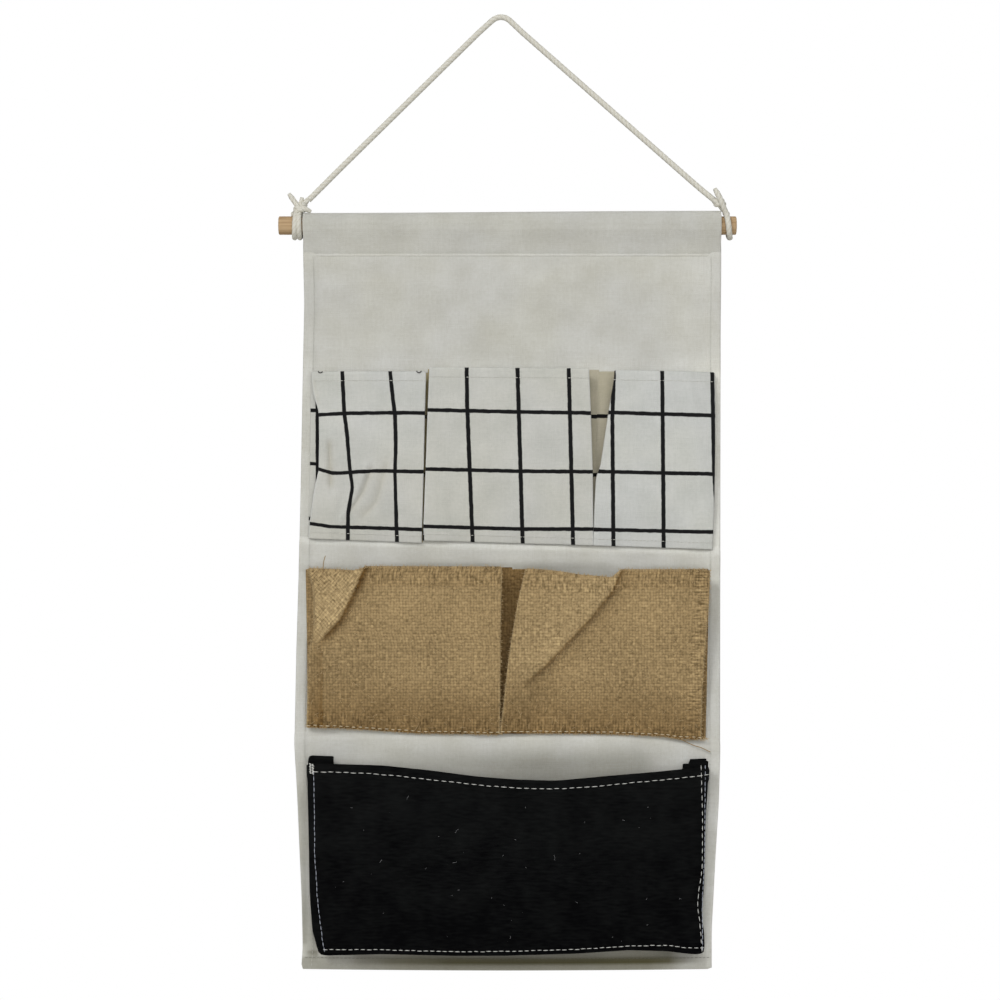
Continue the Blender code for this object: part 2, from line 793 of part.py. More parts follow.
def grid_pockets():
    """The three grid canvas pockets, each placed from its neighbour."""
    shared = dict(
        thickness=grid_thickness,
        leaf_width=grid_leaf_width,
        mouth_depth=grid_mouth_depth,
        mouth_hem=grid_mouth_hem,
        hem_extra=grid_hem_extra,
        seam_height=grid_seam_height,
        front_columns=grid_front_columns,
    )
    between = grid_thickness + pocket_gap
    clear = grid_row_right - grid_row_left - 2 * between
    left_right = grid_row_left + grid_left_share * clear
    centre_left = left_right + between
    centre_right = centre_left + grid_centre_share * clear
    right_left = centre_right + between
    return (
        Pocket(
            name="grid_pocket_left",
            left=Side(
                grid_row_left,
                facet_depth=grid_facet_depth,
                facet_width_share=grid_facet_width_share,
                facet_from_share=grid_facet_from_share,
            ),
            right=Side(left_right, lean=-grid_left_lean),
            mouth_z=grid_mouth_z,
            heights=grid_left_heights,
            **shared,
        ),
        Pocket(
            name="grid_pocket_centre",
            left=Side(centre_left, lean=grid_left_lean),
            right=Side(centre_right, lean=grid_centre_lean),
            mouth_z=grid_mouth_z + grid_centre_rise,
            heights=grid_centre_heights,
            **shared,
        ),
        Pocket(
            name="grid_pocket_right",
            left=Side(right_left, lean=grid_right_lean, lean_from_share=grid_lean_from_share),
            right=Side(grid_row_right),
            mouth_z=grid_mouth_z,
            heights=grid_right_heights,
            **shared,
        ),
    )


def jute_pockets():
    """The two burlap pockets, with a slack corner on the left one and a turned edge on the right."""
    shared = dict(
        thickness=jute_thickness,
        leaf_width=jute_leaf_width,
        mouth_z=jute_mouth_z,
        mouth_depth=jute_mouth_depth,
        mouth_hem=jute_mouth_hem,
        hem_extra=jute_hem_extra,
        seam_height=jute_seam_height,
        front_columns=jute_front_columns,
    )
    between = jute_thickness + pocket_gap
    left_right = jute_row_left + jute_left_share * (jute_row_right - jute_row_left - between)
    return (
        Pocket(
            name="jute_pocket_left",
            left=Side(
                jute_row_left,
                facet_depth=jute_facet_depth,
                facet_width_share=jute_left_facet_width_share,
                facet_from_share=jute_left_facet_from_share,
            ),
            right=Side(left_right, lean=jute_left_lean),
            heights=jute_left_heights,
            **shared,
        ),
        Pocket(
            name="jute_pocket_right",
            left=Side(
                left_right + between,
                lean=jute_right_lean,
                facet_depth=jute_facet_depth,
                facet_width_share=jute_right_facet_width_share,
                facet_from_share=jute_right_facet_from_share,
            ),
            right=Side(jute_row_right, draw=jute_right_draw, draw_to_share=jute_draw_to_share),
            heights=jute_right_heights,
            mouth_dip=jute_mouth_dip,
            dip_from_share=jute_dip_from_share,
            dip_to_share=jute_dip_to_share,
            **shared,
        ),
    )


def denim_edge(share, right):
    """The denim pocket's side edge at a share of its height: it is drawn in towards the seam."""
    down = 1 - share
    if right:
        return denim_right - denim_right_draw * down**denim_right_power
    return denim_left + denim_left_draw * down**denim_left_power


def denim_outline_z(share, across):
    """The height of a point of the denim front: a sagging mouth and rounded bottom corners."""
    mouth = denim_mouth_z - denim_mouth_sag * math.sin(math.pi * across) ** denim_sag_power
    from_corner = min(across, 1 - across) * (denim_right - denim_left)
    lift = denim_corner_rise * (1 - smooth(from_corner / denim_corner_width))
    return mix(denim_bottom_z + lift, mouth, share)


def denim_depth(share, across):
    """How far the middle of the denim front stands ahead of the side hems."""
    base = mix(denim_base_depth, denim_mouth_depth, share)
    rise = math.sin(math.pi * min(share + denim_belly_low_share, 1.0))
    return base + denim_belly * math.sin(math.pi * across) * rise


def denim_columns():
    """Shares across the denim front, closer together at the corners."""
    inner = denim_corner_width / (denim_right - denim_left)
    shares = [0.0, inner / 2, inner]
    shares += [mix(inner, 1 - inner, k / denim_front_columns) for k in range(1, denim_front_columns)]
    return shares + [1 - inner, 1 - inner / 2, 1.0]


def build_denim_front(material, panel):
    """The denim front, one sheet with a slack mouth, and the empty that it swings on."""
    rows = []
    for share in list(row_shares) + [denim_top_row_share, 1.0]:
        row = []
        left, right = denim_edge(share, False), denim_edge(share, True)
        for across in denim_columns():
            y = hem_front_y - denim_depth(share, across)
            row.append(Vector((mix(left, right, across), y, denim_outline_z(share, across))))
        rows.append(row)
    offset = even_offset(denim_thickness)
    mesh = cloth_mesh("denim_pocket_front", rows, offset, offset)
    hinge = joint_empty("denim_seam_line", denim_axis_place(), panel)
    place_mesh("denim_pocket_front", mesh, material, hinge, denim_axis_place())
    return hinge


def denim_axis_place():
    """The line at the denim pocket's bottom edge on which its front swings, at its middle."""
    return ((denim_left + denim_right) / 2, hem_front_y - denim_base_depth, denim_bottom_z)


def gusset_fold_depth(share, across):
    """How far ahead of the side hems the two leaves of the side gusset meet."""
    return (denim_depth(share, across) + touch_gap + denim_thickness) / 2


def gusset_rows():
    """Shares of the height of the gusset's leaves, which stop above the bottom strip."""
    strip = (denim_flange + denim_strip_sag + 2 * denim_thickness) / denim_height
    return [mix(strip, 1.0, k / gusset_steps) for k in range(gusset_steps + 1)]


def gusset_z(share):
    """The height of a point of a gusset leaf, whose top stands above the front's mouth."""
    return mix(denim_bottom_z, denim_tab_z, share)


def build_gusset_leaf(name, right, front_leaf, material, parent, at):
    """One leaf of a side gusset, from a sewn edge to the fold that points into the pocket."""
    way = -1 if right else 1
    across = 1.0 if right else 0.0
    rows = []
    for share in gusset_rows():
        edge = denim_edge(share, right)
        fold = gusset_fold_depth(share, across)
        reach = denim_leaf_width - 2 * denim_thickness
        half = touch_gap / 2 + denim_thickness / 2
        if front_leaf:
            sewn = denim_depth(share, across) - denim_thickness - touch_gap
            end = min(fold + half, sewn)
        else:
            sewn, end = touch_gap + denim_thickness / 2, fold - half
        places = ((0.0, sewn), (denim_flange, sewn), (reach, end))
        points = [Vector((edge + way * x, hem_front_y - depth, gusset_z(share))) for x, depth in places]
        rows.append(points[::-1] if right else points)
    offset = even_offset(denim_thickness)
    mesh = cloth_mesh(name, rows, offset, offset)
    return place_mesh(name, mesh, material, parent, at)


def build_gusset_bottom(material, panel):
    """The bottom strip of the gusset: out from the panel, then down behind the front's edge."""
    left = denim_edge(0.0, False) + denim_corner_width / 2
    right = denim_edge(0.0, True) - denim_corner_width / 2
    seat = touch_gap + denim_thickness / 2
    columns = []
    for j in range(denim_strip_columns + 1):
        x = mix(left, right, j / denim_strip_columns)
        across = (x - denim_left) / (denim_right - denim_left)
        front = denim_depth(0.0, across) - denim_thickness - touch_gap
        low = denim_outline_z(0.0, across)
        top = low + denim_flange
        profile = (
            (front, low),
            (front, top - denim_thickness),
            (front - denim_thickness, top),
            (mix(seat, front, denim_strip_middle_share), top - denim_strip_sag / 2),
            (seat, top + denim_strip_sag / 2),
        )
        columns.append([Vector((x, hem_front_y - depth, z)) for depth, z in profile])
    rows = [list(row) for row in zip(*columns)]
    offset = even_offset(denim_thickness)
    mesh = cloth_mesh("denim_gusset_bottom", rows, offset, offset)
    return place_mesh("denim_gusset_bottom", mesh, material, panel, panel.matrix_world.translation)


def build_dowel(material, panel):
    """The dowel, with its end edges eased."""
    half = dowel_length / 2
    eased = dowel_end_bevel * (1 - math.sqrt(0.5))
    profile = [(-half, dowel_radius - dowel_end_bevel), (eased - half, dowel_radius - eased)]
    for k in range(dowel_rings + 1):
        profile.append((mix(dowel_end_bevel - half, half - dowel_end_bevel, k / dowel_rings), dowel_radius))
    profile += [(half - eased, dowel_radius - eased), (half, dowel_radius - dowel_end_bevel)]
    points = [Vector((dowel_middle + x, 0.0, axis_z)) for x, _ in profile]
    mesh = tube_mesh("dowel", points, [radius for _, radius in profile], dowel_sides)
    return place_mesh("dowel", mesh, material, panel, (dowel_middle, 0.0, axis_z))


def spread_x(x):
    """Move a place on the cord outwards as the panel gets wider, in step with the cord's ends."""
    end = cord_route[0][0] if x < 0 else cord_route[-1][0]
    return x * (1 + panel_spread / abs(end))


def shifted(place, side):
    """Move a place on a knot with its end of the panel: side is -1 at the left, 1 at the right."""
    return (place[0] + side * panel_spread, place[1], place[2])


def build_cord(material):
    """The free stretch of the cord: a curve with round section over the nail."""
    route = smooth_route([(spread_x(x), y, z) for x, y, z in cord_route], cord_point_spacing)
    curve = bpy.data.curves.new("hanging_cord", "CURVE")
    curve.dimensions = "3D"
    curve.bevel_depth = cord_radius
    curve.bevel_resolution = cord_bevel_resolution
    curve.use_fill_caps = True
    spline = curve.splines.new("POLY")
    spline.points.add(len(route) - 1)
    for point, place in zip(spline.points, route):
        point.co = (*place, 1.0)
    curve.materials.append(material)
    cord = bpy.data.objects.new("hanging_cord", curve)
    bpy.context.scene.collection.objects.link(cord)
    return cord


def knot_part(name, mesh, knot):
    """Join a tail or a loop to its knot with a Boolean union."""
    piece = bpy.data.objects.new(name, mesh)
    bpy.context.scene.collection.objects.link(piece)
    piece.hide_render = True
    piece.display_type = "WIRE"
    union = knot.modifiers.new(name, "BOOLEAN")
    union.operation = "UNION"
    union.solver = "EXACT"
    union.object = piece


def build_knot(name, place, size, material):
    """The rounded lump of a tied cord."""
    mesh = bpy.data.meshes.new(name)
    work = bmesh.new()
    bmesh.ops.create_uvsphere(work, u_segments=knot_sides, v_segments=knot_rings, radius=ball_radius_share)
    bmesh.ops.scale(work, verts=work.verts, vec=size)
    bmesh.ops.translate(work, verts=work.verts, vec=place)
    work.to_mesh(mesh)
    work.free()
    mesh.shade_smooth()
    return place_mesh(name, mesh, material, None, place)


def tail_mesh(name, start, tip, start_radius, tip_radius):
    """A straight stub of cord that thins towards its tip."""
    start, tip = Vector(start), Vector(tip)
    points = [start.lerp(tip, k / tail_steps) for k in range(tail_steps + 1)]
    radii = [mix(start_radius, tip_radius, k / tail_steps) for k in range(tail_steps + 1)]
    return tube_mesh(name, points, radii, loop_sides)


def loop_mesh(name, top_x, lean):
    """One turn of cord round the dowel, which may lean along it towards the bottom."""
    radius = dowel_radius + touch_gap + cord_radius
    work = bmesh.new()
    rings = []
    for k in range(loop_steps):
        angle = 2 * math.pi * k / loop_steps
        outward = Vector((0, math.sin(angle), math.cos(angle)))
        middle = Vector((top_x + lean * (1 - math.cos(angle)) / 2, 0, axis_z)) + outward * radius
        ring = []
        for j in range(loop_sides):
            turn = 2 * math.pi * j / loop_sides
            offset = outward * math.cos(turn) + Vector((math.sin(turn), 0, 0))
            ring.append(work.verts.new(middle + offset * cord_radius))
        rings.append(ring)
    for ring, after in zip(rings, rings[1:] + rings[:1]):
        for j in range(loop_sides):
            k = (j + 1) % loop_sides
            work.faces.new((ring[j], ring[k], after[k], after[j]))
    bmesh.ops.recalc_face_normals(work, faces=work.faces)
    mesh = bpy.data.meshes.new(name)
    work.to_mesh(mesh)
    work.free()
    mesh.shade_smooth()
    return mesh


def build_left_knot(material):
    """The left knot: two turns round the dowel, two tails and a stub, and the cord's exit."""
    size = (left_knot_width, left_knot_depth, left_knot_height)
    place = shifted(left_knot_place, -1)
    knot = build_knot("left_cord_knot", place, size, material)
    tip = tail_tip_diameter / 2
    for i, x in enumerate(left_loop_places):
        knot_part(f"left_loop_{i + 1}", loop_mesh(f"left_loop_{i + 1}", x - panel_spread, 0.0), knot)
    top = (left_loop_places[0] - panel_spread, 0.0, axis_z + dowel_radius + touch_gap + cord_radius)
    knot_part("left_neck", tail_mesh("left_neck", place, top, cord_radius, cord_radius), knot)
    for label, end in (
        ("left_tail_up", left_tail_up_tip),
        ("left_tail_mid", left_tail_mid_tip),
        ("left_tail_right", left_tail_right_tip),
    ):
        knot_part(label, tail_mesh(label, place, shifted(end, -1), cord_radius, tip), knot)
    start, after = Vector(shifted(cord_route[0], -1)), Vector(shifted(cord_route[1], -1))
    heading = (start - after).normalized()
    end = start + heading * touch_gap
    inside = end + heading * (left_knot_width / 2)
    knot_part("left_exit", tail_mesh("left_exit", inside, end, cord_radius, cord_radius), knot)
    return knot


def build_right_knot(material):
    """The right knot: one leaning turn round the dowel, a tail along the leg, and the exit."""
    size = (right_knot_width, right_knot_depth, right_knot_height)
    place = shifted(right_knot_place, 1)
    knot = build_knot("right_cord_knot", place, size, material)
    loop_top = right_loop_place - right_loop_lean / 2 + panel_spread
    knot_part("right_loop", loop_mesh("right_loop", loop_top, right_loop_lean), knot)
    top = (loop_top, 0.0, axis_z + dowel_radius + touch_gap + cord_radius)
    knot_part("right_neck", tail_mesh("right_neck", place, top, cord_radius, cord_radius), knot)
    root, end = shifted(right_tail_root, 1), shifted(right_tail_tip, 1)
    tail = tail_mesh("right_tail", root, end, cord_radius, tail_tip_diameter / 2)
    knot_part("right_tail", tail, knot)
    start, before = Vector(shifted(cord_route[-1], 1)), Vector(shifted(cord_route[-2], 1))
    heading = (start - before).normalized()
    end = start + heading * touch_gap
    inside = end + heading * (right_knot_width / 2)
    knot_part("right_exit", tail_mesh("right_exit", inside, end, cord_radius, cord_radius), knot)
    return knot


def build():
    """Build the organizer, piece by piece, from the dowel down."""
    clear_scene()
    wood = finish("pale wood", (0.62, 0.45, 0.28), 0.6)
    cotton = finish("cotton cord", (0.66, 0.65, 0.56), 0.9)
    canvas = finish("ivory canvas", (0.66, 0.65, 0.60), 0.9)
    grid_canvas = finish("grid canvas", (0.72, 0.71, 0.67), 0.9)
    burlap = finish("burlap", (0.42, 0.29, 0.15), 0.95)
    denim = finish("black denim", (0.012, 0.014, 0.015), 0.9)

    build_cord(cotton)
    build_left_knot(cotton)
    build_right_knot(cotton)

    swing = (dowel_middle, 0.0, axis_z)
    panel = joint_empty("panel_swing_line", swing)
    build_back_panel(canvas, panel, swing)
    build_dowel(wood, panel)

    grid = grid_pockets()
    for pocket in grid:
        pocket.build_front(grid_canvas, panel)
        pocket.build_hem(pocket.name.replace("pocket", "hem"), grid_canvas, panel)
    build_outer_pleat("grid_pleat_left", grid[0], grid[0].left, grid_canvas, panel)
    build_divider("grid_divider_left", grid[0], grid[1], grid_canvas, panel)
    build_divider("grid_divider_right", grid[1], grid[2], grid_canvas, panel)
    build_outer_pleat("grid_pleat_right", grid[2], grid[2].right, grid_canvas, panel)

    jute = jute_pockets()
    for pocket in jute:
        pocket.build_front(burlap, panel)
        pocket.build_hem(pocket.name.replace("pocket", "hem"), burlap, panel)
    build_outer_pleat("jute_pleat_left", jute[0], jute[0].left, burlap, panel)
    build_divider("jute_divider", jute[0], jute[1], burlap, panel)
    build_outer_pleat("jute_pleat_right", jute[1], jute[1].right, burlap, panel)

    denim_line = build_denim_front(denim, panel)
    build_gusset_leaf("denim_gusset_left", False, False, denim, panel, swing)
    build_gusset_leaf("denim_gusset_right", True, False, denim, panel, swing)
    seam = denim_axis_place()
    build_gusset_leaf("denim_gusset_left_front", False, True, denim, denim_line, seam)
    build_gusset_leaf("denim_gusset_right_front", True, True, denim, denim_line, seam)
    build_gusset_bottom(denim, panel)


build()
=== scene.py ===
"""Visual model of a hanging pocket organizer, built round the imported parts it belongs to."""

import logging
import math
from dataclasses import dataclass
from enum import Enum
from functools import partial

import bpy
import numpy as np
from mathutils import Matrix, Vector


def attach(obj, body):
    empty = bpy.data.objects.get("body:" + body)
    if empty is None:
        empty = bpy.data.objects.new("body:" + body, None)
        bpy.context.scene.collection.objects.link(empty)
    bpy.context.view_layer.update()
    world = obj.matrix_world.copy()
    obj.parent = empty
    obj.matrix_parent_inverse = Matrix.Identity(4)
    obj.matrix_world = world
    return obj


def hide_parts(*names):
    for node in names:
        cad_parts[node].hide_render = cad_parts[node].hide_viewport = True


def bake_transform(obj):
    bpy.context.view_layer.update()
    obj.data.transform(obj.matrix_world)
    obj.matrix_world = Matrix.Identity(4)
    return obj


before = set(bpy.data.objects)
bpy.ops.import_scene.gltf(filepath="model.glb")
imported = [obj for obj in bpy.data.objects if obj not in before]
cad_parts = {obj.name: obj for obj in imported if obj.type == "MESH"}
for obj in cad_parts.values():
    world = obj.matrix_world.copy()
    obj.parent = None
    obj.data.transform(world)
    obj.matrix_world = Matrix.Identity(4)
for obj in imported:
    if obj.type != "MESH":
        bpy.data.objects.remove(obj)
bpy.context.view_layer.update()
LOG = logging.getLogger("organizer")

MM = 0.001
TOUCH = 0.0003
FOLD_GAP = 0.0004
PANEL_FRONT = 0.0090
HEM_FRONT = 0.0078
ROW_STEP = 0.001
HEM_STEP = 0.0012
SHARP = 1e-6

Array = np.ndarray
Triple = tuple[float, float, float]
Colour = Triple
Table = tuple[tuple[float, float], ...]
Course = tuple[Triple, ...]
Socket = bpy.types.NodeSocket
Piece = bpy.types.Object
Material = bpy.types.Material


def read(table: Table, at: Array | float, soft: float = 0.0) -> Array:
    """Reads a table of places and values in millimetres.

    Args:
        table: pairs of place and value in millimetres, places rising.
        at: places in metres.
        soft: how far the corners of the table are rounded, in metres.

    Returns:
        The values in metres.
    """
    keys, values = np.array(table).T * MM
    at = np.asarray(at, float)
    shares = ((-1.0, 0.25), (0.0, 0.5), (1.0, 0.25))
    return sum(share * np.interp(at + shift * soft, keys, values) for shift, share in shares)


def mix(start: Array | float, end: Array | float, share: Array | float) -> Array:
    """Blends linearly from start to end."""
    return start + (end - start) * share


def ease(share: Array | float) -> Array:
    """Turns a share into one that starts and ends softly."""
    share = np.clip(share, 0.0, 1.0)
    return share * share * (3.0 - 2.0 * share)


def hump(away: Array, width: float, power: float = 2.0) -> Array:
    """Gives 1 on a line, falling off to nothing beyond the width."""
    return np.exp(-((away / width) ** power))


def column(values: Array) -> Array:
    """Stands a line of values up as a column."""
    return values[:, None]


def run_along(path: Array) -> Array:
    """Gives the length of each path of points up to every one of its points.

    Args:
        path: points by their parts, or rows of points by their parts.

    Returns:
        Lengths, starting at zero.
    """
    steps = np.linalg.norm(np.diff(path, axis=-2), axis=-1)
    start = np.zeros((*steps.shape[:-1], 1))
    return np.concatenate((start, np.cumsum(steps, axis=-1)), axis=-1)


def even_path(knots: Array, step: float, passes: int = 3) -> Array:
    """Spaces a path evenly and rounds its corners.

    Args:
        knots: the path's corners by their parts.
        step: spacing of the result.
        passes: how many times the corners are rounded.

    Returns:
        Points by their parts.
    """
    run = run_along(knots)
    at = np.linspace(0.0, run[-1], max(3, int(run[-1] / step)))
    path = np.stack([np.interp(at, run, part) for part in knots.T], axis=-1)
    for _ in range(passes):
        path[1:-1] = (path[:-2] + 2.0 * path[1:-1] + path[2:]) / 4.0
    return path


def srgb(red: float, green: float, blue: float) -> tuple[float, float, float, float]:
    """Turns a screen colour of 0 to 255 into the linear colour that a shader takes."""
    shares = (np.array((red, green, blue)) / 255.0).tolist()
    linear = [s / 12.92 if s <= 0.04045 else ((s + 0.055) / 1.055) ** 2.4 for s in shares]
    return (*linear, 1.0)


@dataclass(frozen=True)
class Ripple:
    """Soft unevenness of cloth, as a sum of a few seeded waves."""

    height: float
    length: float
    seed: int
    count: int = 9

    def at(self, x: Array, z: Array) -> Array:
        """Gives the height of the unevenness at each place.

        Args:
            x, z: places across and up the cloth.

        Returns:
            Heights in metres, around zero.
        """
        rng = np.random.default_rng(self.seed)
        total = np.zeros(np.broadcast(x, z).shape)
        for _ in range(self.count):
            turn = rng.uniform(0.0, math.pi)
            wave = 2.0 * math.pi / (self.length * rng.uniform(0.7, 1.7))
            line = x * math.cos(turn) + z * math.sin(turn)
            total = total + np.cos(wave * line + rng.uniform(0.0, 2.0 * math.pi))
        return self.height * total / math.sqrt(self.count)


@dataclass(frozen=True)
class Crease:
    """A ridge or dimple along a line, with a slope of its own on each side."""

    line: Table
    height: float
    upper: float
    lower: float
    fade: float = 0.25
    # tone paints shade in the hollow; over and lift paint light on the flap above the line; under, narrow, wide
    # and reach paint shade just under it; ridge paints a thin shade line along the ridge
    tone: float = 0.0
    over: float = 0.95
    under: float = 0.42
    wide: float = 0.10
    reach: float = 0.009
    ridge: float = 0.30
    narrow: float = 0.0026
    lift: float = 0.10

    ROUNDNESS = 1.4
    FLAP_REACH = 0.05
    FLAP_FADE = 0.2
    RIDGE_WIDTH = 0.0013

    def _places(self, x: Array, z: Array) -> tuple[Array, Array, Array]:
        """Finds each place's distance from the line.

        Args:
            x, z: places across and up the cloth.

        Returns:
            The distance, the side of the line and the share along the line.
        """
        knots = np.array(self.line) * MM
        starts = run_along(knots)
        best = np.full(np.broadcast(x, z).shape, np.inf)
        side = np.ones(best.shape)
        run = np.zeros(best.shape)
        for first, last, start, end in zip(knots[:-1], knots[1:], starts[:-1], starts[1:]):
            way = last - first
            gap_x, gap_z = x - first[0], z - first[1]
            share = np.clip((gap_x * way[0] + gap_z * way[1]) / (way @ way), 0.0, 1.0)
            away = np.hypot(gap_x - share * way[0], gap_z - share * way[1])
            closer = away < best
            best = np.where(closer, away, best)
            side = np.where(closer, np.sign(way[0] * gap_z - way[1] * gap_x), side)
            run = np.where(closer, mix(start, end, share), run)
        return best, side, run / starts[-1]

    def at(self, x: Array, z: Array) -> Array:
        """Gives the height of the ridge at each place.

        Args:
            x, z: places across and up the cloth.

        Returns:
            Heights in metres, zero far from the line.
        """
        away, side, share = self._places(x, z)
        width = np.where(side > 0, self.upper, self.lower)
        taper = ease(share / self.fade) * ease((1.0 - share) / self.fade + 0.35)
        return self.height * taper * hump(away, width, self.ROUNDNESS)

    def paint_light_and_shade(self, x: Array, z: Array, total: Array) -> Array:
        """Paints light on the flap over the line and shade just under it and along its ridge.

        Args:
            x, z: places across and up the cloth.
            total: the painted shade without the crease.

        Returns:
            How dark it is with it.
        """
        away, side, share = self._places(x, z)
        taper = ease(share / self.FLAP_FADE)
        flap = self.flap(x, z)
        dark = self.under * hump(away, self.narrow) + self.wide * hump(away, self.reach)
        ridge = (side > 0) * taper * self.ridge * hump(away, self.RIDGE_WIDTH)
        return total * (1.0 - self.over * flap) - self.lift * flap + (side <= 0) * taper * dark + ridge

    def flap(self, x: Array, z: Array) -> Array:
        """Gives how far each place is part of the flap over the line, from 0 to 1."""
        away, side, share = self._places(x, z)
        return (side > 0) * ease(share / self.FLAP_FADE) * hump(away, self.FLAP_REACH)

    def hollow_shade(self, x: Array, z: Array) -> Array:
        """Gives the painted shade in the hollow of the crease.

        Args:
            x, z: places across and up the cloth.

        Returns:
            Darkness, zero far from the line.
        """
        away, side, share = self._places(x, z)
        width = np.where(side > 0, self.upper, self.lower)
        taper = ease(share / self.FLAP_FADE) * ease((1.0 - share) / self.FLAP_FADE)
        return self.tone * taper * hump(away, width, self.ROUNDNESS)


@dataclass(frozen=True)
class ShadePatch:
    """A soft patch of cloth painted darker or, below zero, lighter, mostly for painted shade and painted light.

    Each side that it has is a place and the width of its soft edge, both in millimetres.
    """

    dark: float
    right_of: tuple[float, float] | None = None
    left_of: tuple[float, float] | None = None
    over: tuple[float, float] | None = None
    under: tuple[float, float] | None = None

    def at(self, x: Array, z: Array) -> Array:
        """Gives how dark the patch makes each place.

        Args:
            x, z: places across and up the cloth.

        Returns:
            Darkness, zero outside the patch.
        """
        total = np.full(np.broadcast(x, z).shape, self.dark)
        sides = ((self.right_of, x, 1.0), (self.left_of, x, -1.0), (self.over, z, 1.0), (self.under, z, -1.0))
        for side, places, way in sides:
            if side:
                total = total * ease(way * (places - side[0] * MM) / (side[1] * MM))
        return total


@dataclass(frozen=True)
class Bulge:
    """Cloth that is loose between two sewn lines and stands forward there."""

    low: float
    high: Table
    rise: float
    fall: float
    height: float
    uneven: float

    def at(self, x: Array, z: Array, wave: Array) -> Array:
        """Gives how far the cloth stands forward.

        Args:
            x, z: places across and up the cloth.
            wave: unevenness of -1 to 1.

        Returns:
            Heights in metres, zero past the two lines.
        """
        window = ease((z - self.low) / self.rise) * ease((read(self.high, x) - z) / self.fall)
        return self.height * window * (1.0 - self.uneven + self.uneven * wave)


class Shell:
    """Cloth as rows and columns of points, given real thickness and a rounded rim."""

    RIM_STEPS = (0.25, 0.5, 0.75)
    LEAST = 1e-12

    def __init__(self, points: Array, front: Array | float, back: Array | float) -> None:
        """Keeps the middle surface and how far each skin stands off it.

        Args:
            points: rows by columns by 3, columns rightwards and rows upwards seen from outside.
            front: distance of the outer skin.
            back: distance of the inner skin.
        """
        self.points = points
        self.shape = points.shape[:2]
        self.front = np.broadcast_to(front, self.shape)[..., None]
        self.back = np.broadcast_to(back, self.shape)[..., None]
        self.maps: dict[str, Array] = {}
        # shade and back_shade hold painted shade for the outer and inner skin, and painted light where they are
        # below zero
        self.shade = np.zeros(self.shape)
        self.back_shade = np.zeros(self.shape)

    def normals(self) -> Array:
        """Finds the outward direction at every point of the middle surface.

        Returns:
            Rows by columns by 3, of length 1.
        """
        across = np.gradient(self.points, axis=1)
        up = np.gradient(self.points, axis=0)
        normal = np.cross(across, up)
        return normal / np.maximum(np.linalg.norm(normal, axis=2, keepdims=True), self.LEAST)

    def _loop(self) -> tuple[Array, Array]:
        """Walks round the rim, anticlockwise from outside.

        Returns:
            The places on the rim, and the places just inside them.
        """
        rows, columns = self.shape
        index = np.arange(rows * columns).reshape(rows, columns)
        rim = [index[0, :-1], index[:-1, -1], index[-1, :0:-1], index[:0:-1, 0]]
        inner = [index[1, :-1], index[:-1, -2], index[-2, :0:-1], index[:0:-1, 1]]
        return np.concatenate(rim), np.concatenate(inner)

    def _skins(self, loop: Array, inside: Array) -> Array:
        """Lays both skins and the rim between them.

        Args:
            loop: places on the rim.
            inside: places just inside them.

        Returns:
            Every vertex: the outer skin, the inner one and the rings of the rim.
        """
        normal = self.normals()
        outer = (self.points + normal * self.front).reshape(-1, 3)
        inner = (self.points - normal * self.back).reshape(-1, 3)
        middle = (outer + inner) / 2.0
        half = (outer - inner)[loop] / 2.0
        away = middle[loop] - middle[inside]
        away /= np.maximum(np.linalg.norm(away, axis=1, keepdims=True), self.LEAST)
        size = np.linalg.norm(half, axis=1, keepdims=True)
        rings = [
            middle[loop] + half * math.cos(math.pi * step) + away * size * math.sin(math.pi * step)
            for step in self.RIM_STEPS
        ]
        return np.concatenate([outer, inner, *rings])

    def _faces(self, loop: Array) -> Array:
        """Joins the vertices of both skins and the rim, facing outwards.

        Args:
            loop: places on the rim.

        Returns:
            Faces by 4 vertices.
        """
        rows, columns = self.shape
        count = rows * columns
        index = np.arange(count).reshape(rows, columns)
        corners = (index[:-1, :-1], index[:-1, 1:], index[1:, 1:], index[1:, :-1])
        quads = np.stack(corners, axis=-1).reshape(-1, 4)
        rings = range(len(self.RIM_STEPS))
        strips = [loop, *(2 * count + k * len(loop) + np.arange(len(loop)) for k in rings), loop + count]
        rim = [
            np.stack((np.roll(upper, -1), upper, lower, np.roll(lower, -1)), axis=-1)
            for upper, lower in zip(strips[:-1], strips[1:])
        ]
        return np.concatenate([quads, quads[:, ::-1] + count, *rim])

    def build(self, name: str, material: Material) -> Piece:
        """Builds one closed mesh object with its maps.

        Args:
            name: the object's name.
            material: its finish.

        Returns:
            The new object.
        """
        loop, inside = self._loop()
        faces = self._faces(loop)
        mesh = bpy.data.meshes.new(name)
        mesh.from_pydata(self._skins(loop, inside).tolist(), [], faces.tolist())
        mesh.shade_smooth()
        for title, values in self.maps.items():
            flat = values.reshape(-1, 2)
            spread = np.concatenate([flat, flat] + [flat[loop]] * len(self.RIM_STEPS))
            layer = mesh.uv_layers.new(name=title)
            layer.data.foreach_set("uv", spread[faces.ravel()].astype(np.float32).ravel())
        # The Shade attribute carries the painted shade and painted light of both skins
        flat, rear = self.shade.reshape(-1), self.back_shade.reshape(-1)
        rim = [mix(flat[loop], rear[loop], step) for step in self.RIM_STEPS]
        shade = mesh.attributes.new("Shade", "FLOAT", "POINT")
        shade.data.foreach_set("value", np.concatenate([flat, rear, *rim]).astype(np.float32))
        mesh.materials.append(material)
        return place_mesh(name, mesh)


def place_mesh(name: str, mesh: bpy.types.Mesh) -> Piece:
    """Puts a mesh into the scene as an object at the origin.

    Args:
        name: the object's name.
        mesh: the mesh.

    Returns:
        The new object.
    """
    thing = bpy.data.objects.new(name, mesh)
    bpy.context.scene.collection.objects.link(thing)
    return thing


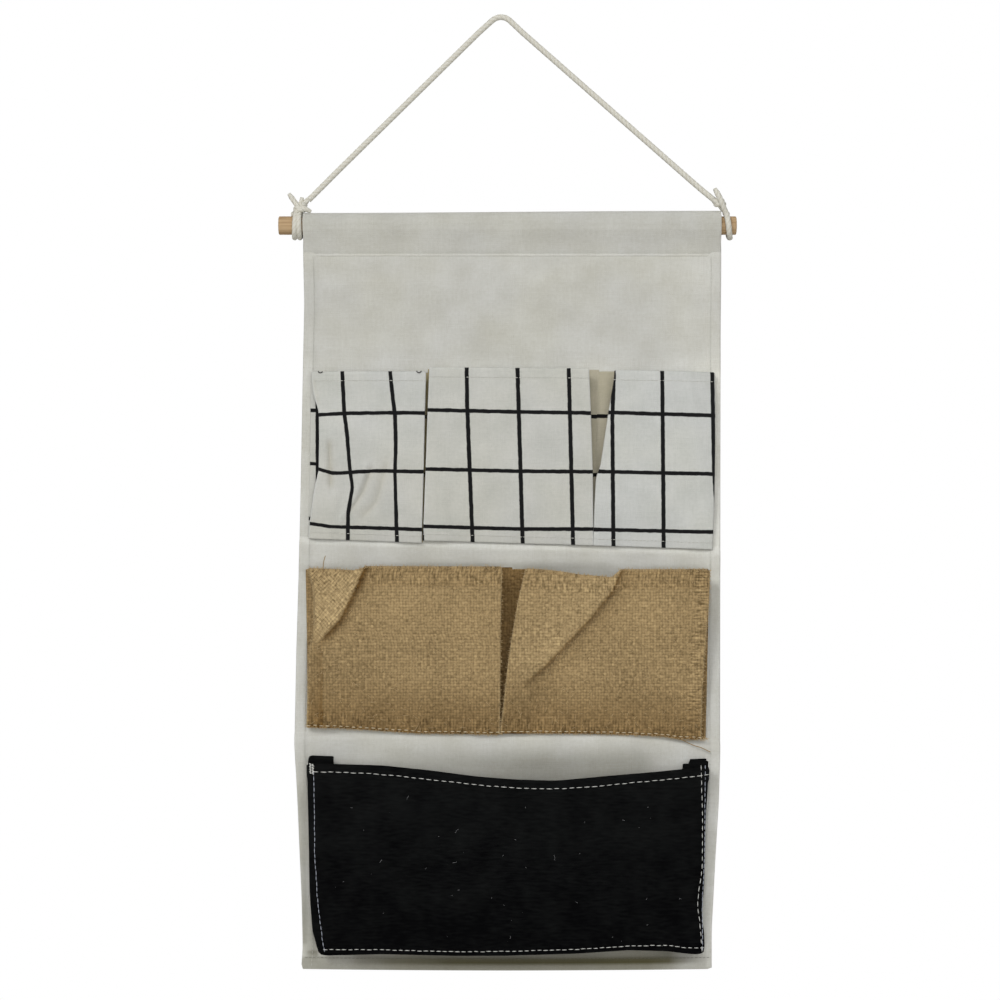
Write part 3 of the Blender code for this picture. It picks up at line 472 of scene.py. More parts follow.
class Graph:
    """Short way of writing the nodes of one tree."""

    def __init__(self, tree: bpy.types.NodeTree) -> None:
        """Keeps the tree."""
        self.tree = tree

    def add(self, kind: str, feeds: dict | None = None, **settings: object) -> bpy.types.Node:
        """Adds one node.

        Args:
            kind: the node's type.
            feeds: a socket or a value for each input, by name or place.
            settings: the node's own properties.

        Returns:
            The new node.
        """
        node = self.tree.nodes.new(kind)
        for key, value in settings.items():
            setattr(node, key, value)
        for key, value in (feeds or {}).items():
            if isinstance(value, Socket):
                self.tree.links.new(value, node.inputs[key])
            else:
                node.inputs[key].default_value = value
        return node

    def math(self, operation: str, *values: object) -> Socket:
        """Adds a math node and gives its result."""
        feeds = dict(enumerate(values))
        return self.add("ShaderNodeMath", feeds, operation=operation).outputs[0]

    def vector(self, operation: str, feeds: dict) -> Socket:
        """Adds a vector math node and gives its result."""
        return self.add("ShaderNodeVectorMath", feeds, operation=operation).outputs[0]

    def weigh(self, *terms: tuple[object, object]) -> Socket:
        """Adds up terms.

        Args:
            terms: each a socket and its weight.

        Returns:
            The sum.
        """
        parts = [self.math("MULTIPLY", *term) for term in terms]
        total = parts[0]
        for part in parts[1:]:
            total = self.math("ADD", total, part)
        return total

    def noise(self, vector: object, scale: float, detail: float = 2.0) -> Socket:
        """Adds a noise texture and gives its value of 0 to 1."""
        feeds = {"Vector": vector, "Scale": scale, "Detail": detail}
        return self.add("ShaderNodeTexNoise", feeds).outputs[0]

    def streaks(self, first: object, second: object, fine: tuple[float, float]) -> Socket:
        """Adds a noise that is drawn out one way, finer along one of two parts."""
        parts = [self.math("MULTIPLY", part, scale) for part, scale in zip((first, second), fine)]
        return self.noise(self.join(*parts, 0.0), 1.0)

    def blend(self, share: object, first: object, second: object, how: str = "MIX") -> Socket:
        """Adds a colour mix and gives its result."""
        feeds = {0: share, 6: first, 7: second}
        return self.add("ShaderNodeMix", feeds, data_type="RGBA", blend_type=how).outputs[2]

    def span(self, value: object, low: float, high: float, start: float, end: float) -> Socket:
        """Maps a value from low..high to start..end and gives the clamped result."""
        feeds = {0: value, 1: low, 2: high, 3: start, 4: end}
        return self.add("ShaderNodeMapRange", feeds).outputs[0]

    def ramp(self, value: object, levels: tuple[float, float], dark: Colour, light: Colour) -> Socket:
        """Blends from a dark to a light colour while a value goes through two levels."""
        return self.blend(self.span(value, *levels, 0.0, 1.0), srgb(*dark), srgb(*light))

    def uv(self, title: str) -> Socket:
        """Gives the named UV map."""
        return self.add("ShaderNodeUVMap", uv_map=title).outputs[0]

    def split(self, vector: object) -> tuple[Socket, Socket]:
        """Gives the first two parts of a vector."""
        parts = self.add("ShaderNodeSeparateXYZ", {0: vector}).outputs
        return parts[0], parts[1]

    def join(self, *parts: object) -> Socket:
        """Gives a vector of the given parts."""
        return self.add("ShaderNodeCombineXYZ", dict(enumerate(parts))).outputs[0]

    def weave(self, vector: object, pitch: float, run: float = 0.05) -> tuple[Socket, Socket]:
        """Adds a plain weave.

        Args:
            vector: the cloth's own coordinates in metres.
            pitch: the spacing of its threads.
            run: how fast a thread's tone changes along it, in shares of a thread's spacing.

        Returns:
            The height of the threads and their tone, both from 0 to 1.
        """
        u, v = (self.math("DIVIDE", part, pitch) for part in self.split(vector))
        waves = [self.math("SINE", self.math("MULTIPLY", part, math.pi)) for part in (u, v)]
        crossing = self.math("MULTIPLY", *waves)
        height = self.math("POWER", self.math("ABSOLUTE", crossing), 0.55)
        warp = self.join(self.math("FLOOR", u), self.math("MULTIPLY", v, run), 0.0)
        weft = self.join(self.math("MULTIPLY", u, run), self.math("FLOOR", v), 7.3)
        tones = [self.noise(thread, 0.97, 1.0) for thread in (warp, weft)]
        over = self.math("GREATER_THAN", crossing, 0.0)
        tone = self.add("ShaderNodeMix", {0: over, 2: tones[1], 3: tones[0]}).outputs[0]
        return height, tone

    def folded(self, colour: object, tint: Colour) -> Socket:
        """Tints the colour by the cloth's Shade attribute: painted shade in folds, gaps, creases and shadows,
        painted light below zero.

        Args:
            colour: the cloth's colour.
            tint: the share of it that is left where Shade is 1.

        Returns:
            The tinted colour.
        """
        shade = self.add("ShaderNodeAttribute", attribute_name="Shade").outputs["Fac"]
        feeds = {0: shade, 6: colour, 7: self.blend(1.0, colour, (*tint, 1.0), "MULTIPLY")}
        return self.add("ShaderNodeMix", feeds, data_type="RGBA", clamp_factor=False).outputs[2]

    def surface(self, colour: object, rough: float, height: object, depth: float,
                sheen: float = 0.0, shine: float = 0.12) -> None:
        """Adds the shader, with its bump, and links it to the output.

        Args:
            colour: base colour.
            rough: roughness.
            height: height of the bump, 0 to 1.
            depth: how deep the bump is, in metres.
            sheen: weight of the soft cloth sheen.
            shine: strength of the plain reflection.
        """
        bump = self.add("ShaderNodeBump", {"Strength": 0.6, "Distance": depth, "Height": height})
        shader = self.add("ShaderNodeBsdfPrincipled", {
            "Base Color": colour, "Roughness": rough, "Normal": bump.outputs[0],
            "Specular IOR Level": shine, "Sheen Weight": sheen, "Sheen Roughness": 0.6,
        })
        self.add("ShaderNodeOutputMaterial", {0: shader.outputs[0]})


def blank_material(name: str) -> tuple[Material, Graph]:
    """Makes an empty node material.

    Args:
        name: its name.

    Returns:
        The material and the graph that fills it.
    """
    material = bpy.data.materials.new(name)
    material.use_nodes = True
    material.node_tree.nodes.clear()
    return material, Graph(material.node_tree)


@dataclass(frozen=True)
class Canvas:
    """Ivory cotton canvas, plain or printed with a black grid."""

    name: str
    tint: Colour = (206, 206, 201)
    shade: Colour = (190, 189, 181)
    pitch: float = 0.0009
    printed: bool = False
    # fold is the tint of the painted shade: the share of the colour left where Shade is 1
    fold: Colour = (0.15, 0.14, 0.09)
    ink: Colour = (9, 9, 11)
    print_half: tuple[float, float] = (0.0410, 0.0335)
    soft: float = 0.14
    warmth: Colour = (1.0, 0.995, 0.965)

    def make(self) -> Material:
        """Builds the material from the cloth's own coordinates.

        Returns:
            The new material.
        """
        material, graph = blank_material(self.name)
        cloth = graph.uv("Cloth")
        height, tone = graph.weave(cloth, self.pitch)
        patch, fleck = graph.noise(cloth, 38.0, 3.0), graph.noise(cloth, 420.0)
        share = graph.weigh((patch, 0.45), (tone, 0.3), (fleck, 0.25))
        colour = graph.ramp(share, (0.36, 0.64), self.shade, self.tint)
        warm = graph.span(graph.noise(cloth, 15.0), 0.38, 0.62, 0.0, 1.0)
        colour = graph.blend(warm, colour, graph.blend(1.0, colour, (*self.warmth, 1.0), "MULTIPLY"))
        if self.printed:
            colour = graph.blend(self._mask(graph, cloth), colour, srgb(*self.ink))
        # The Shade attribute paints shade and light into the colour
        graph.surface(graph.folded(colour, self.fold), 0.92, height, 0.00018, 0.1)
        return material

    def _mask(self, graph: Graph, cloth: object) -> Socket:
        """Adds the printed grid, whose lines lie at whole numbers of the Print map.

        Args:
            graph: the material's graph.
            cloth: the cloth's own coordinates.

        Returns:
            1 on the ink, 0 off it.
        """
        wobble = graph.math("MULTIPLY", graph.math("SUBTRACT", graph.noise(cloth, 160.0), 0.5), 0.02)
        lines = []
        for part, half in zip(graph.split(graph.uv("Print")), self.print_half):
            place = graph.math("ADD", part, wobble)
            away = graph.math("ABSOLUTE", graph.math("SUBTRACT", place, graph.math("ROUND", place)))
            lines.append(graph.span(away, half * (1.0 - self.soft), half * (1.0 + self.soft), 1.0, 0.0))
        return graph.math("MAXIMUM", *lines)


@dataclass(frozen=True)
class Burlap:
    """Loose brown jute weave with uneven threads."""

    name: str
    light: Colour = (192, 166, 121)
    dark: Colour = (116, 97, 66)
    pitch: float = 0.0024
    drift: float = 0.0011
    # fold is the tint of the painted shade: the share of the colour left where Shade is 1
    fold: Colour = (0.40, 0.30, 0.16)

    def make(self) -> Material:
        """Builds the material from the cloth's own coordinates.

        Returns:
            The new material.
        """
        material, graph = blank_material(self.name)
        cloth = graph.uv("Cloth")
        drift = graph.add("ShaderNodeTexNoise", {"Vector": cloth, "Scale": 60.0, "Detail": 2.0})
        offset = graph.vector("SUBTRACT", {0: drift.outputs[1], 1: (0.5, 0.5, 0.5)})
        moved = graph.vector("MULTIPLY_ADD", {0: offset, 1: (self.drift,) * 3, 2: cloth})
        height, tone = graph.weave(moved, self.pitch, 0.45)
        patch, slub = graph.noise(cloth, 22.0, 4.0), graph.noise(cloth, 480.0)
        terms = [(tone, 0.42), (patch, 0.26), (slub, 0.5)]
        across, up = graph.split(cloth)
        for level, fast, slow in zip(graph.split(graph.uv("Band")), (across, up), (up, across)):
            streak = graph.streaks(fast, slow, (620.0, 120.0))
            terms.append((level, graph.math("SUBTRACT", streak, 0.5)))
        colour = graph.ramp(graph.weigh(*terms), (0.39, 0.79), self.dark, self.light)
        # Painted shade: the weave's hollows between threads are darkened, then the Shade attribute's painted
        # shade and light go in
        hollow_shade = graph.span(height, 0.05, 0.5, 0.62, 1.0)
        colour = graph.folded(graph.blend(1.0, colour, hollow_shade, "MULTIPLY"), self.fold)
        graph.surface(colour, 0.95, height, 0.0006, 0.05)
        return material


@dataclass(frozen=True)
class Denim:
    """Black twill, a little paler towards its mouth."""

    name: str
    light: Colour = (19, 20, 20)
    dark: Colour = (4, 4, 5)
    pitch: float = 0.0009
    slope: float = 1.6

    def make(self) -> Material:
        """Builds the material from the cloth's own coordinates.

        Returns:
            The new material.
        """
        material, graph = blank_material(self.name)
        cloth = graph.uv("Cloth")
        across, up = graph.split(cloth)
        ribs = graph.math("DIVIDE", graph.weigh((across, 1.0), (up, self.slope)), self.pitch)
        height = graph.math("ABSOLUTE", graph.math("SINE", graph.math("MULTIPLY", ribs, math.pi)))
        patch, slub = graph.noise(cloth, 40.0, 4.0), graph.streaks(across, up, (110.0, 520.0))
        share = graph.weigh((patch, 0.5), (slub, 0.5), (graph.span(up, -0.75, -0.63, -0.06, 0.09), 1.0))
        colour = graph.ramp(share, (0.38, 0.70), self.dark, self.light)
        graph.surface(colour, 0.88, height, 0.00025, 0.0, 0.03)
        return material


@dataclass(frozen=True)
class Thread:
    """Plain twisted cotton, for sewing thread and loose fibre."""

    name: str
    tint: Colour = (226, 226, 222)
    shade: Colour = (196, 196, 190)

    def make(self) -> Material:
        """Builds the material from the object's own coordinates.

        Returns:
            The new material.
        """
        material, graph = blank_material(self.name)
        place = graph.add("ShaderNodeTexCoord").outputs["Object"]
        tone = graph.noise(place, 500.0)
        colour = graph.blend(tone, srgb(*self.shade), srgb(*self.tint))
        graph.surface(colour, 0.8, tone, 0.0001)
        return material


@dataclass(frozen=True)
class Rope:
    """Twisted cotton cord, its strands marked along a map of turns and length."""

    name: str
    tint: Colour = (215, 213, 203)
    shade: Colour = (198, 193, 177)

    def make(self) -> Material:
        """Builds the material: fine fibres along each strand and painted shade in the grooves.

        Returns:
            The new material.
        """
        material, graph = blank_material(self.name)
        across, along = graph.split(graph.uv("Strand"))
        groove = graph.math("ABSOLUTE", graph.math("COSINE", graph.math("MULTIPLY", across, math.pi)))
        fibres = graph.streaks(across, along, (16.0, 220.0))
        # Painted shade: the colour darkens towards the shade colour in the grooves between strands
        deep = graph.span(groove, 0.1, 0.75, 0.25, 1.0)
        share = graph.math("MULTIPLY", deep, graph.span(fibres, 0.3, 0.7, 0.7, 1.0))
        graph.surface(graph.blend(share, srgb(*self.shade), srgb(*self.tint)), 0.9, fibres, 0.0003, 0.1)
        return material


@dataclass(frozen=True)
class Wood:
    """Pale dowel wood, its grain along the rod."""

    name: str
    tint: Colour = (190, 163, 127)
    shade: Colour = (158, 130, 96)
    grain: Triple = (18.0, 420.0, 420.0)

    def make(self) -> Material:
        """Builds the material from the object's own coordinates.

        Returns:
            The new material.
        """
        material, graph = blank_material(self.name)
        place = graph.add("ShaderNodeTexCoord").outputs["Object"]
        grain = graph.noise(graph.vector("MULTIPLY", {0: place, 1: self.grain}), 1.0, 4.0)
        graph.surface(graph.ramp(grain, (0.35, 0.65), self.shade, self.tint), 0.62, grain, 0.0002)
        return material


class Finish(Enum):
    """Every finish of the object and the slot of the record that it takes."""

    WOOD = ("dowel_wood", Wood("dowel_wood_grain"))
    CORD = ("cotton_cord", Rope("twisted_cotton"))
    CANVAS = ("ivory_canvas", Canvas("ivory_canvas_cloth"))
    # The grid cloth's fold is the warmer tint of its painted shade
    GRID = ("grid_canvas", Canvas("grid_canvas_cloth", (202, 203, 200), (186, 188, 184), printed=True,
                                  fold=(0.54, 0.38, 0.07)))
    BURLAP = ("burlap", Burlap("burlap_weave"))
    DENIM = ("black_denim", Denim("black_denim_twill"))
    THREAD = ("white_thread", Thread("white_sewing_thread"))
    HEM_THREAD = ("white_thread", Thread("ivory_sewing_thread", (198, 197, 190), (186, 185, 177)))
    # A darkened copy of the hem thread: painted shade for the hem stitches inside the painted shadow under the
    # denim pocket
    SHADED_THREAD = ("white_thread", Thread("shaded_sewing_thread", (118, 116, 104), (98, 96, 86)))
    FINE_THREAD = ("white_thread", Thread("grey_sewing_thread", (186, 190, 200), (138, 144, 158)))
    JUTE_THREAD = ("white_thread", Thread("beige_sewing_thread", (218, 206, 178), (180, 163, 128)))
    FIBRE = ("burlap", Thread("jute_fibre", (208, 186, 144), (160, 134, 94)))
    YARN = ("burlap", Thread("stray_jute_yarn", (172, 148, 110), (126, 104, 70)))
    LINT = ("white_thread", Thread("pale_lint", (150, 150, 150), (96, 97, 100)))
    PRINTED_YARN = ("grid_canvas", Thread("printed_yarn_end", (56, 53, 50), (26, 25, 26)))

    @property
    def slot(self) -> str:
        """Gives the record's material slot."""
        return self.value[0]

    @property
    def material(self) -> Material:
        """Gives the material, made at its first use."""
        made = bpy.data.materials.get(self.value[1].name)
        return made or self.value[1].make()


@dataclass(frozen=True)
class StitchKind:
    """One kind of thread work: its pitch, dash, thickness and colour."""

    pitch: float
    dash: float
    thread: float
    finish: Finish = Finish.THREAD
    unevenness: float = 0.00012


class PathWork:
    """Thread or fibre that a node tree lays along paths."""

    SMOOTH = False

    def __init__(self, name: str) -> None:
        """Starts with no paths."""
        self.name = name
        self.paths: list[Array] = []

    def add(self, path: Array) -> None:
        """Adds one path of points."""
        self.paths.append(np.asarray(path, float))

    def inputs(self) -> dict[str, object]:
        """Gives the tree's inputs by name, Finish among them."""
        raise NotImplementedError

    def shape(self, graph: Graph, source: object, curve: Socket) -> Socket:
        """Adds the nodes that turn the paths into thread, and gives the last one's result."""
        raise NotImplementedError

    def _host(self) -> Piece:
        """Makes an object whose mesh is nothing but the paths.

        Returns:
            The object.
        """
        vertices, edges = [], []
        for path in self.paths:
            first = len(vertices)
            vertices.extend(path.tolist())
            edges.extend((k, k + 1) for k in range(first, len(vertices) - 1))
        lines = bpy.data.meshes.new(f"{self.name}_lines")
        lines.from_pydata(vertices, edges, [])
        return place_mesh(f"{self.name}_host", lines)

    def build(self) -> Piece:
        """Lays the work and turns it into one plain mesh.

        Returns:
            The new object.
        """
        tree = bpy.data.node_groups.new(f"{self.name}_paths", "GeometryNodeTree")
        for way in ("INPUT", "OUTPUT"):
            tree.interface.new_socket("Geometry", in_out=way, socket_type="NodeSocketGeometry")
        values = {}
        for title, value in self.inputs().items():
            kind = {float: "Float", int: "Int"}.get(type(value), "Material")
            socket = tree.interface.new_socket(title, in_out="INPUT", socket_type=f"NodeSocket{kind}")
            values[socket.identifier] = value
        graph = Graph(tree)
        source = graph.add("NodeGroupInput").outputs
        curve = graph.add("GeometryNodeMeshToCurve", {0: source["Geometry"]}).outputs[0]
        real = graph.add("GeometryNodeRealizeInstances", {0: self.shape(graph, source, curve)})
        if self.SMOOTH:
            real = graph.add("GeometryNodeSetShadeSmooth", {"Geometry": real.outputs[0]})
        feeds = {"Geometry": real.outputs[0], "Material": source["Finish"]}
        graph.add("NodeGroupOutput", {0: graph.add("GeometryNodeSetMaterial", feeds).outputs[0]})
        host = self._host()
        modifier = host.modifiers.new("Paths", "NODES")
        modifier.node_group = tree
        for name, value in values.items():
            modifier[name] = value
        return bake(self.name, host)


class ThreadWork(PathWork):
    """Rows of stitches."""

    SMOOTH = True
    SHORTEST, LONGEST = 0.88, 1.08
    STRAY = (1.0, 0.3, 1.0)

    def __init__(self, name: str, kind: StitchKind, seed: int) -> None:
        """Starts with no rows."""
        super().__init__(name)
        self.kind, self.seed = kind, seed

    def inputs(self) -> dict[str, object]:
        """Gives the tree's inputs by name."""
        kind = self.kind
        return {"Pitch": kind.pitch, "Dash": kind.dash, "Thread": kind.thread,
                "Unevenness": kind.unevenness, "Seed": self.seed, "Finish": kind.finish.material}

    def shape(self, graph: Graph, source: object, curve: Socket) -> Socket:
        """Sets a bead of thread at every stitch, each a little uneven.

        Args:
            graph: the tree's graph.
            source: the tree's inputs.
            curve: the rows.

        Returns:
            The beads.
        """
        feeds = {0: curve, "Length": source["Pitch"]}
        points = graph.add("GeometryNodeCurveToPoints", feeds, mode="LENGTH").outputs
        turn = graph.add("FunctionNodeAlignRotationToVector", {"Vector": points["Tangent"]}, axis="X")
        thin, long = (graph.math("MULTIPLY", source[title], 0.5) for title in ("Thread", "Dash"))
        feeds = {2: self.SHORTEST, 3: self.LONGEST, "Seed": source["Seed"]}
        vary = graph.add("FunctionNodeRandomValue", feeds)
        size = graph.join(graph.math("MULTIPLY", long, vary.outputs[1]), thin, thin)
        bead = graph.add("GeometryNodeMeshUVSphere", {"Segments": 6, "Rings": 6, "Radius": 1.0})
        copies = graph.add("GeometryNodeInstanceOnPoints", {
            "Points": points[0], "Instance": bead.outputs[0], "Rotation": turn.outputs[0], "Scale": size})
        high = graph.vector("SCALE", {0: self.STRAY, "Scale": source["Unevenness"]})
        low = graph.vector("SCALE", {0: high, "Scale": -1.0})
        feeds = {0: low, 1: high, "Seed": source["Seed"]}
        shift = graph.add("FunctionNodeRandomValue", feeds, data_type="FLOAT_VECTOR")
        feeds = {"Instances": copies.outputs[0], "Translation": shift.outputs[0], "Local Space": False}
        return graph.add("GeometryNodeTranslateInstances", feeds).outputs[0]


class Fibres(PathWork):
    """Loose fibres and thread ends."""

    SIDES = 5

    def __init__(self, name: str, thickness: float, finish: Finish, seed: int) -> None:
        """Starts with no fibres."""
        super().__init__(name)
        self.thickness, self.finish = thickness, finish
        self.random = np.random.default_rng(seed)

    def inputs(self) -> dict[str, object]:
        """Gives the tree's inputs by name."""
        return {"Radius": self.thickness / 2.0, "Finish": self.finish.material}

    def scatter(self, root: Array, way: Array, length: float, spread: float, curl: float) -> None:
        """Adds one bent fibre.

        Args:
            root: where it starts.
            way: where it points.
            length: its mean length.
            spread: how far its direction strays.
            curl: how far it bends, as a share of its length.
        """
        way = np.asarray(way, float) + self.random.normal(0.0, spread, 3)
        way = way / np.linalg.norm(way) * length * self.random.uniform(0.5, 1.4)
        side = self.random.normal(0.0, 1.0, 3) * curl * length
        share = column(np.linspace(0.0, 1.0, 5))
        self.add(root + way * share + side * share * (1.0 - share))

    def shape(self, graph: Graph, source: object, curve: Socket) -> Socket:
        """Sweeps a round thread along every path.

        Args:
            graph: the tree's graph.
            source: the tree's inputs.
            curve: the paths.

        Returns:
            The threads.
        """
        feeds = {"Resolution": self.SIDES, "Radius": source["Radius"]}
        ring = graph.add("GeometryNodeCurvePrimitiveCircle", feeds)
        feeds = {0: curve, 1: ring.outputs[0], "Fill Caps": True}
        return graph.add("GeometryNodeCurveToMesh", feeds).outputs[0]


def bake(name: str, host: Piece) -> Piece:
    """Turns what a host's modifier makes into one plain mesh, and removes the host.

    Args:
        name: the new object's name.
        host: the object that carries the modifier.

    Returns:
        The new object, at the origin.
    """
    host.update_tag()
    bpy.context.view_layer.update()
    ready = host.evaluated_get(bpy.context.evaluated_depsgraph_get())
    mesh = bpy.data.meshes.new_from_object(ready)
    mesh.name = name
    source = host.data
    bpy.data.objects.remove(host)
    bpy.data.meshes.remove(source)
    return place_mesh(name, mesh)


@dataclass(frozen=True)
class Bend:
    """How a sewn piece bends between the panel and its own pocket front."""

    body: str
    bottom: float
    height: float
    start: float
    step: float
    length: float

    def apply(self, piece: Piece) -> None:
        """Bakes the piece's place into its mesh; the piece is not bent.

        Args:
            piece: the sewn piece.
        """
        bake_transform(piece)


class Pocket:
    """What every pocket front can do: carry thread and give the sizes of its bend."""

    size: object
    low: float
    high: float

    def depth(self, x: Array, z: Array) -> Array:
        """Gives how far the middle of the front stands in front of the panel's hem."""
        raise NotImplementedError

    def front_point(self, x: Array, z: Array, lift: float) -> Array:
        """Gives points on the outside of the front, lifted off the cloth."""
        return np.stack((x, HEM_FRONT - self.depth(x, z) - self.size.cloth / 2.0 - lift, z), axis=-1)

    def row(self, table: Table, lift: float, passes: int = 0) -> Array:
        """Lays a row of stitches over the front.

        Args:
            table: the row's corners, across and up, in millimetres.
            lift: how far the thread's middle stands off the cloth.
            passes: how many times the corners are rounded.

        Returns:
            Points in metres.
        """
        return self.front_point(*even_path(np.array(table) * MM, ROW_STEP, passes).T, lift)

    def bend(self) -> Bend:
        """Gives how the pocket's cloth bends when it opens."""
        return Bend(self.size.body, self.low, self.high - self.low, *self.size.bend)


@dataclass(frozen=True)
class Edge:
    """One side of a pleated pocket: its visible fold, where its rear leaf is sewn, and its print."""

    fold: Table
    sewn: Table
    divider: bool = False
    facet_width: float = 0.0
    facet_from: float = 0.0
    facet_depth: float = 0.0
    print_line: float | None = None
    # dark paints shade along the fold, for the narrow dark gap between two pockets
    dark: float = 0.0


@dataclass(frozen=True)
class PocketSize:
    """Sizes of one pleated pocket, in metres where no table says millimetres."""

    name: str
    body: str
    nodes: tuple[str, ...]
    left: Edge
    right: Edge
    mouth: Table
    bottom: Table
    cloth: float
    leaf: float
    mouth_depth: float
    mouth_hem: float
    finish: Finish
    bend: Triple
    columns: int
    rows: int
    flat: tuple[float, float]
    ripple: Ripple
    stitch: StitchKind
    threads: tuple[Table, ...]
    yarn: tuple[float, Finish]
    strays: tuple[Course, ...] = ()
    creases: tuple[Crease, ...] = ()
    uprights: tuple[Table, ...] = ()
    levels: tuple[Table, ...] = ()
    # Painted shade: fold_shade and leaf_shade on the rear leaves beside dividers and plain folds, the slit
    # value in the slit by the right fold; tone darkens the front by height
    fold_shade: float = 0.45
    leaf_shade: float = 0.10
    slit: float = 0.0
    turned: float = 0.0
    tone: Table = ((0.0, 0.0),)


class PleatPocket(Pocket):
    """A pocket front with its two side pleats, as one piece of folded cloth."""

    LEAF_STEPS = 12
    ARC_STEPS = 6
    REAR = LEAF_STEPS + ARC_STEPS // 2
    BOTTOM_SOFT, MOUTH_SOFT, LINE_SOFT, SIDE_SOFT = 0.004, 0.0015, 0.003, 0.004
    FACE_FIBRES, RIM_FIBRES, SIDE_FIBRES = 420, 520, 150
    SEAM_CLOTHS, FOLDED_CLOTHS = 1.3, 2.5
    OPEN_SHARE, DIVIDER_OPEN_SHARE = 0.5, 0.2
    FLAP_LEAST = 0.02
    DIVIDER_DROP, PLEAT_DROP = 0.055, -0.09
    HEM_EDGE = 0.0015

    def __init__(self, size: PocketSize) -> None:
        """Keeps the sizes and works out the level of the mouth and of the bottom."""
        self.size = size
        self.low = float(np.mean([z for _, z in size.bottom])) * MM
        self.high = float(np.mean([z for _, z in size.mouth])) * MM

    def levels(self, x: Array) -> tuple[Array, Array]:
        """Gives the heights of the bottom and of the mouth at each place across."""
        return read(self.size.bottom, x, self.BOTTOM_SOFT), read(self.size.mouth, x, self.MOUTH_SOFT)

    def share_at(self, x: Array, z: Array) -> Array:
        """Gives how far up the pocket each place is, from 0 to 1 inside it."""
        low, high = self.levels(x)
        return (z - low) / (high - low)

    def side_x(self, edge: Edge, share: Array) -> Array:
        """Gives the place of a side fold at each share of the height."""
        return read(edge.fold, mix(self.low, self.high, share), self.SIDE_SOFT)

    def depth(self, x: Array, z: Array) -> Array:
        """Gives how far the middle of the cloth stands in front of the panel's hem.

        Args:
            x, z: places across and up the front.

        Returns:
            Depths in metres.
        """
        size = self.size
        share = np.clip(self.share_at(x, z), 0.0, 1.0)
        left, right = self.side_x(size.left, share), self.side_x(size.right, share)
        clear = ease((np.minimum(x - left, right - x) - size.leaf) / 0.008)
        folded = 2.0 * TOUCH + FOLD_GAP + self.FOLDED_CLOTHS * size.cloth
        seam = mix(folded, TOUCH + FOLD_GAP + self.SEAM_CLOTHS * size.cloth, clear)
        depth = mix(seam, size.mouth_depth, 1.0 - (1.0 - share) ** 2)
        for edge, inward in ((size.left, x - left), (size.right, right - x)):
            if edge.facet_depth:
                away = np.maximum(inward / (right - left), 0.0)
                strength = np.maximum(share - edge.facet_from, 0.0) / (1.0 - edge.facet_from)
                reach = np.maximum(edge.facet_width * strength, 1e-4)
                depth = depth - edge.facet_depth * strength * np.maximum(1.0 - away / reach, 0.0)
        for crease in size.creases:
            depth = depth + crease.at(x, z)
        depth = depth + size.ripple.at(x, z) * ease(share * 5.0)
        return np.maximum(depth, seam)

    def _side(self, edge: Edge, outward: float, share: Array, high: Array) -> tuple[Array, Array]:
        """Gives one side's path over the panel, from its sewn line to its visible fold.

        Args:
            edge: the side's sizes.
            outward: -1 for the left side, 1 for the right.
            share: shares of the height, one for each row.
            high: heights of the rows at the fold.

        Returns:
            Places across and depths, each rows by columns.
        """
        size, cloth = self.size, self.size.cloth
        fold = self.side_x(edge, share)
        depth = self.depth(fold, high)
        low = 1.5 * TOUCH + cloth
        open_depth = np.maximum(depth * (self.DIVIDER_OPEN_SHARE if edge.divider else self.OPEN_SHARE), low)
        inner = mix(low, open_depth, 1.0 - (1.0 - share) ** 2)
        ahead = inner + (TOUCH + cloth) / 2.0
        run = np.sqrt(np.maximum(size.leaf**2 - (depth - ahead) ** 2, 1e-8))
        bend, tuck = (cloth + FOLD_GAP) / 2.0, (cloth + TOUCH) / 2.0
        inside, outside = column(fold - outward * run + outward * tuck), column(fold - outward * bend)
        sewn, inner, depth = column(read(edge.sewn, high, 0.004)), column(inner), column(depth)
        base = TOUCH + cloth / 2.0 - (PANEL_FRONT - HEM_FRONT if edge.divider else 0.0)
        leaf = np.linspace(0.0, 1.0, self.LEAF_STEPS)
        arc = np.linspace(0.0, math.pi, self.ARC_STEPS + 2)[1:-1]
        parts = (
            (mix(sewn, inside, leaf), mix(base, inner - tuck, leaf**3 if edge.divider else leaf)),
            (inside - outward * tuck * np.sin(arc), inner - tuck * np.cos(arc)),
            (mix(inside, outside, leaf), mix(inner + tuck, depth - 2.0 * bend, leaf)),
            (outside + outward * bend * np.sin(arc), depth - bend - bend * np.cos(arc)),
        )
        return np.concatenate([x for x, _ in parts], 1), np.concatenate([d for _, d in parts], 1)

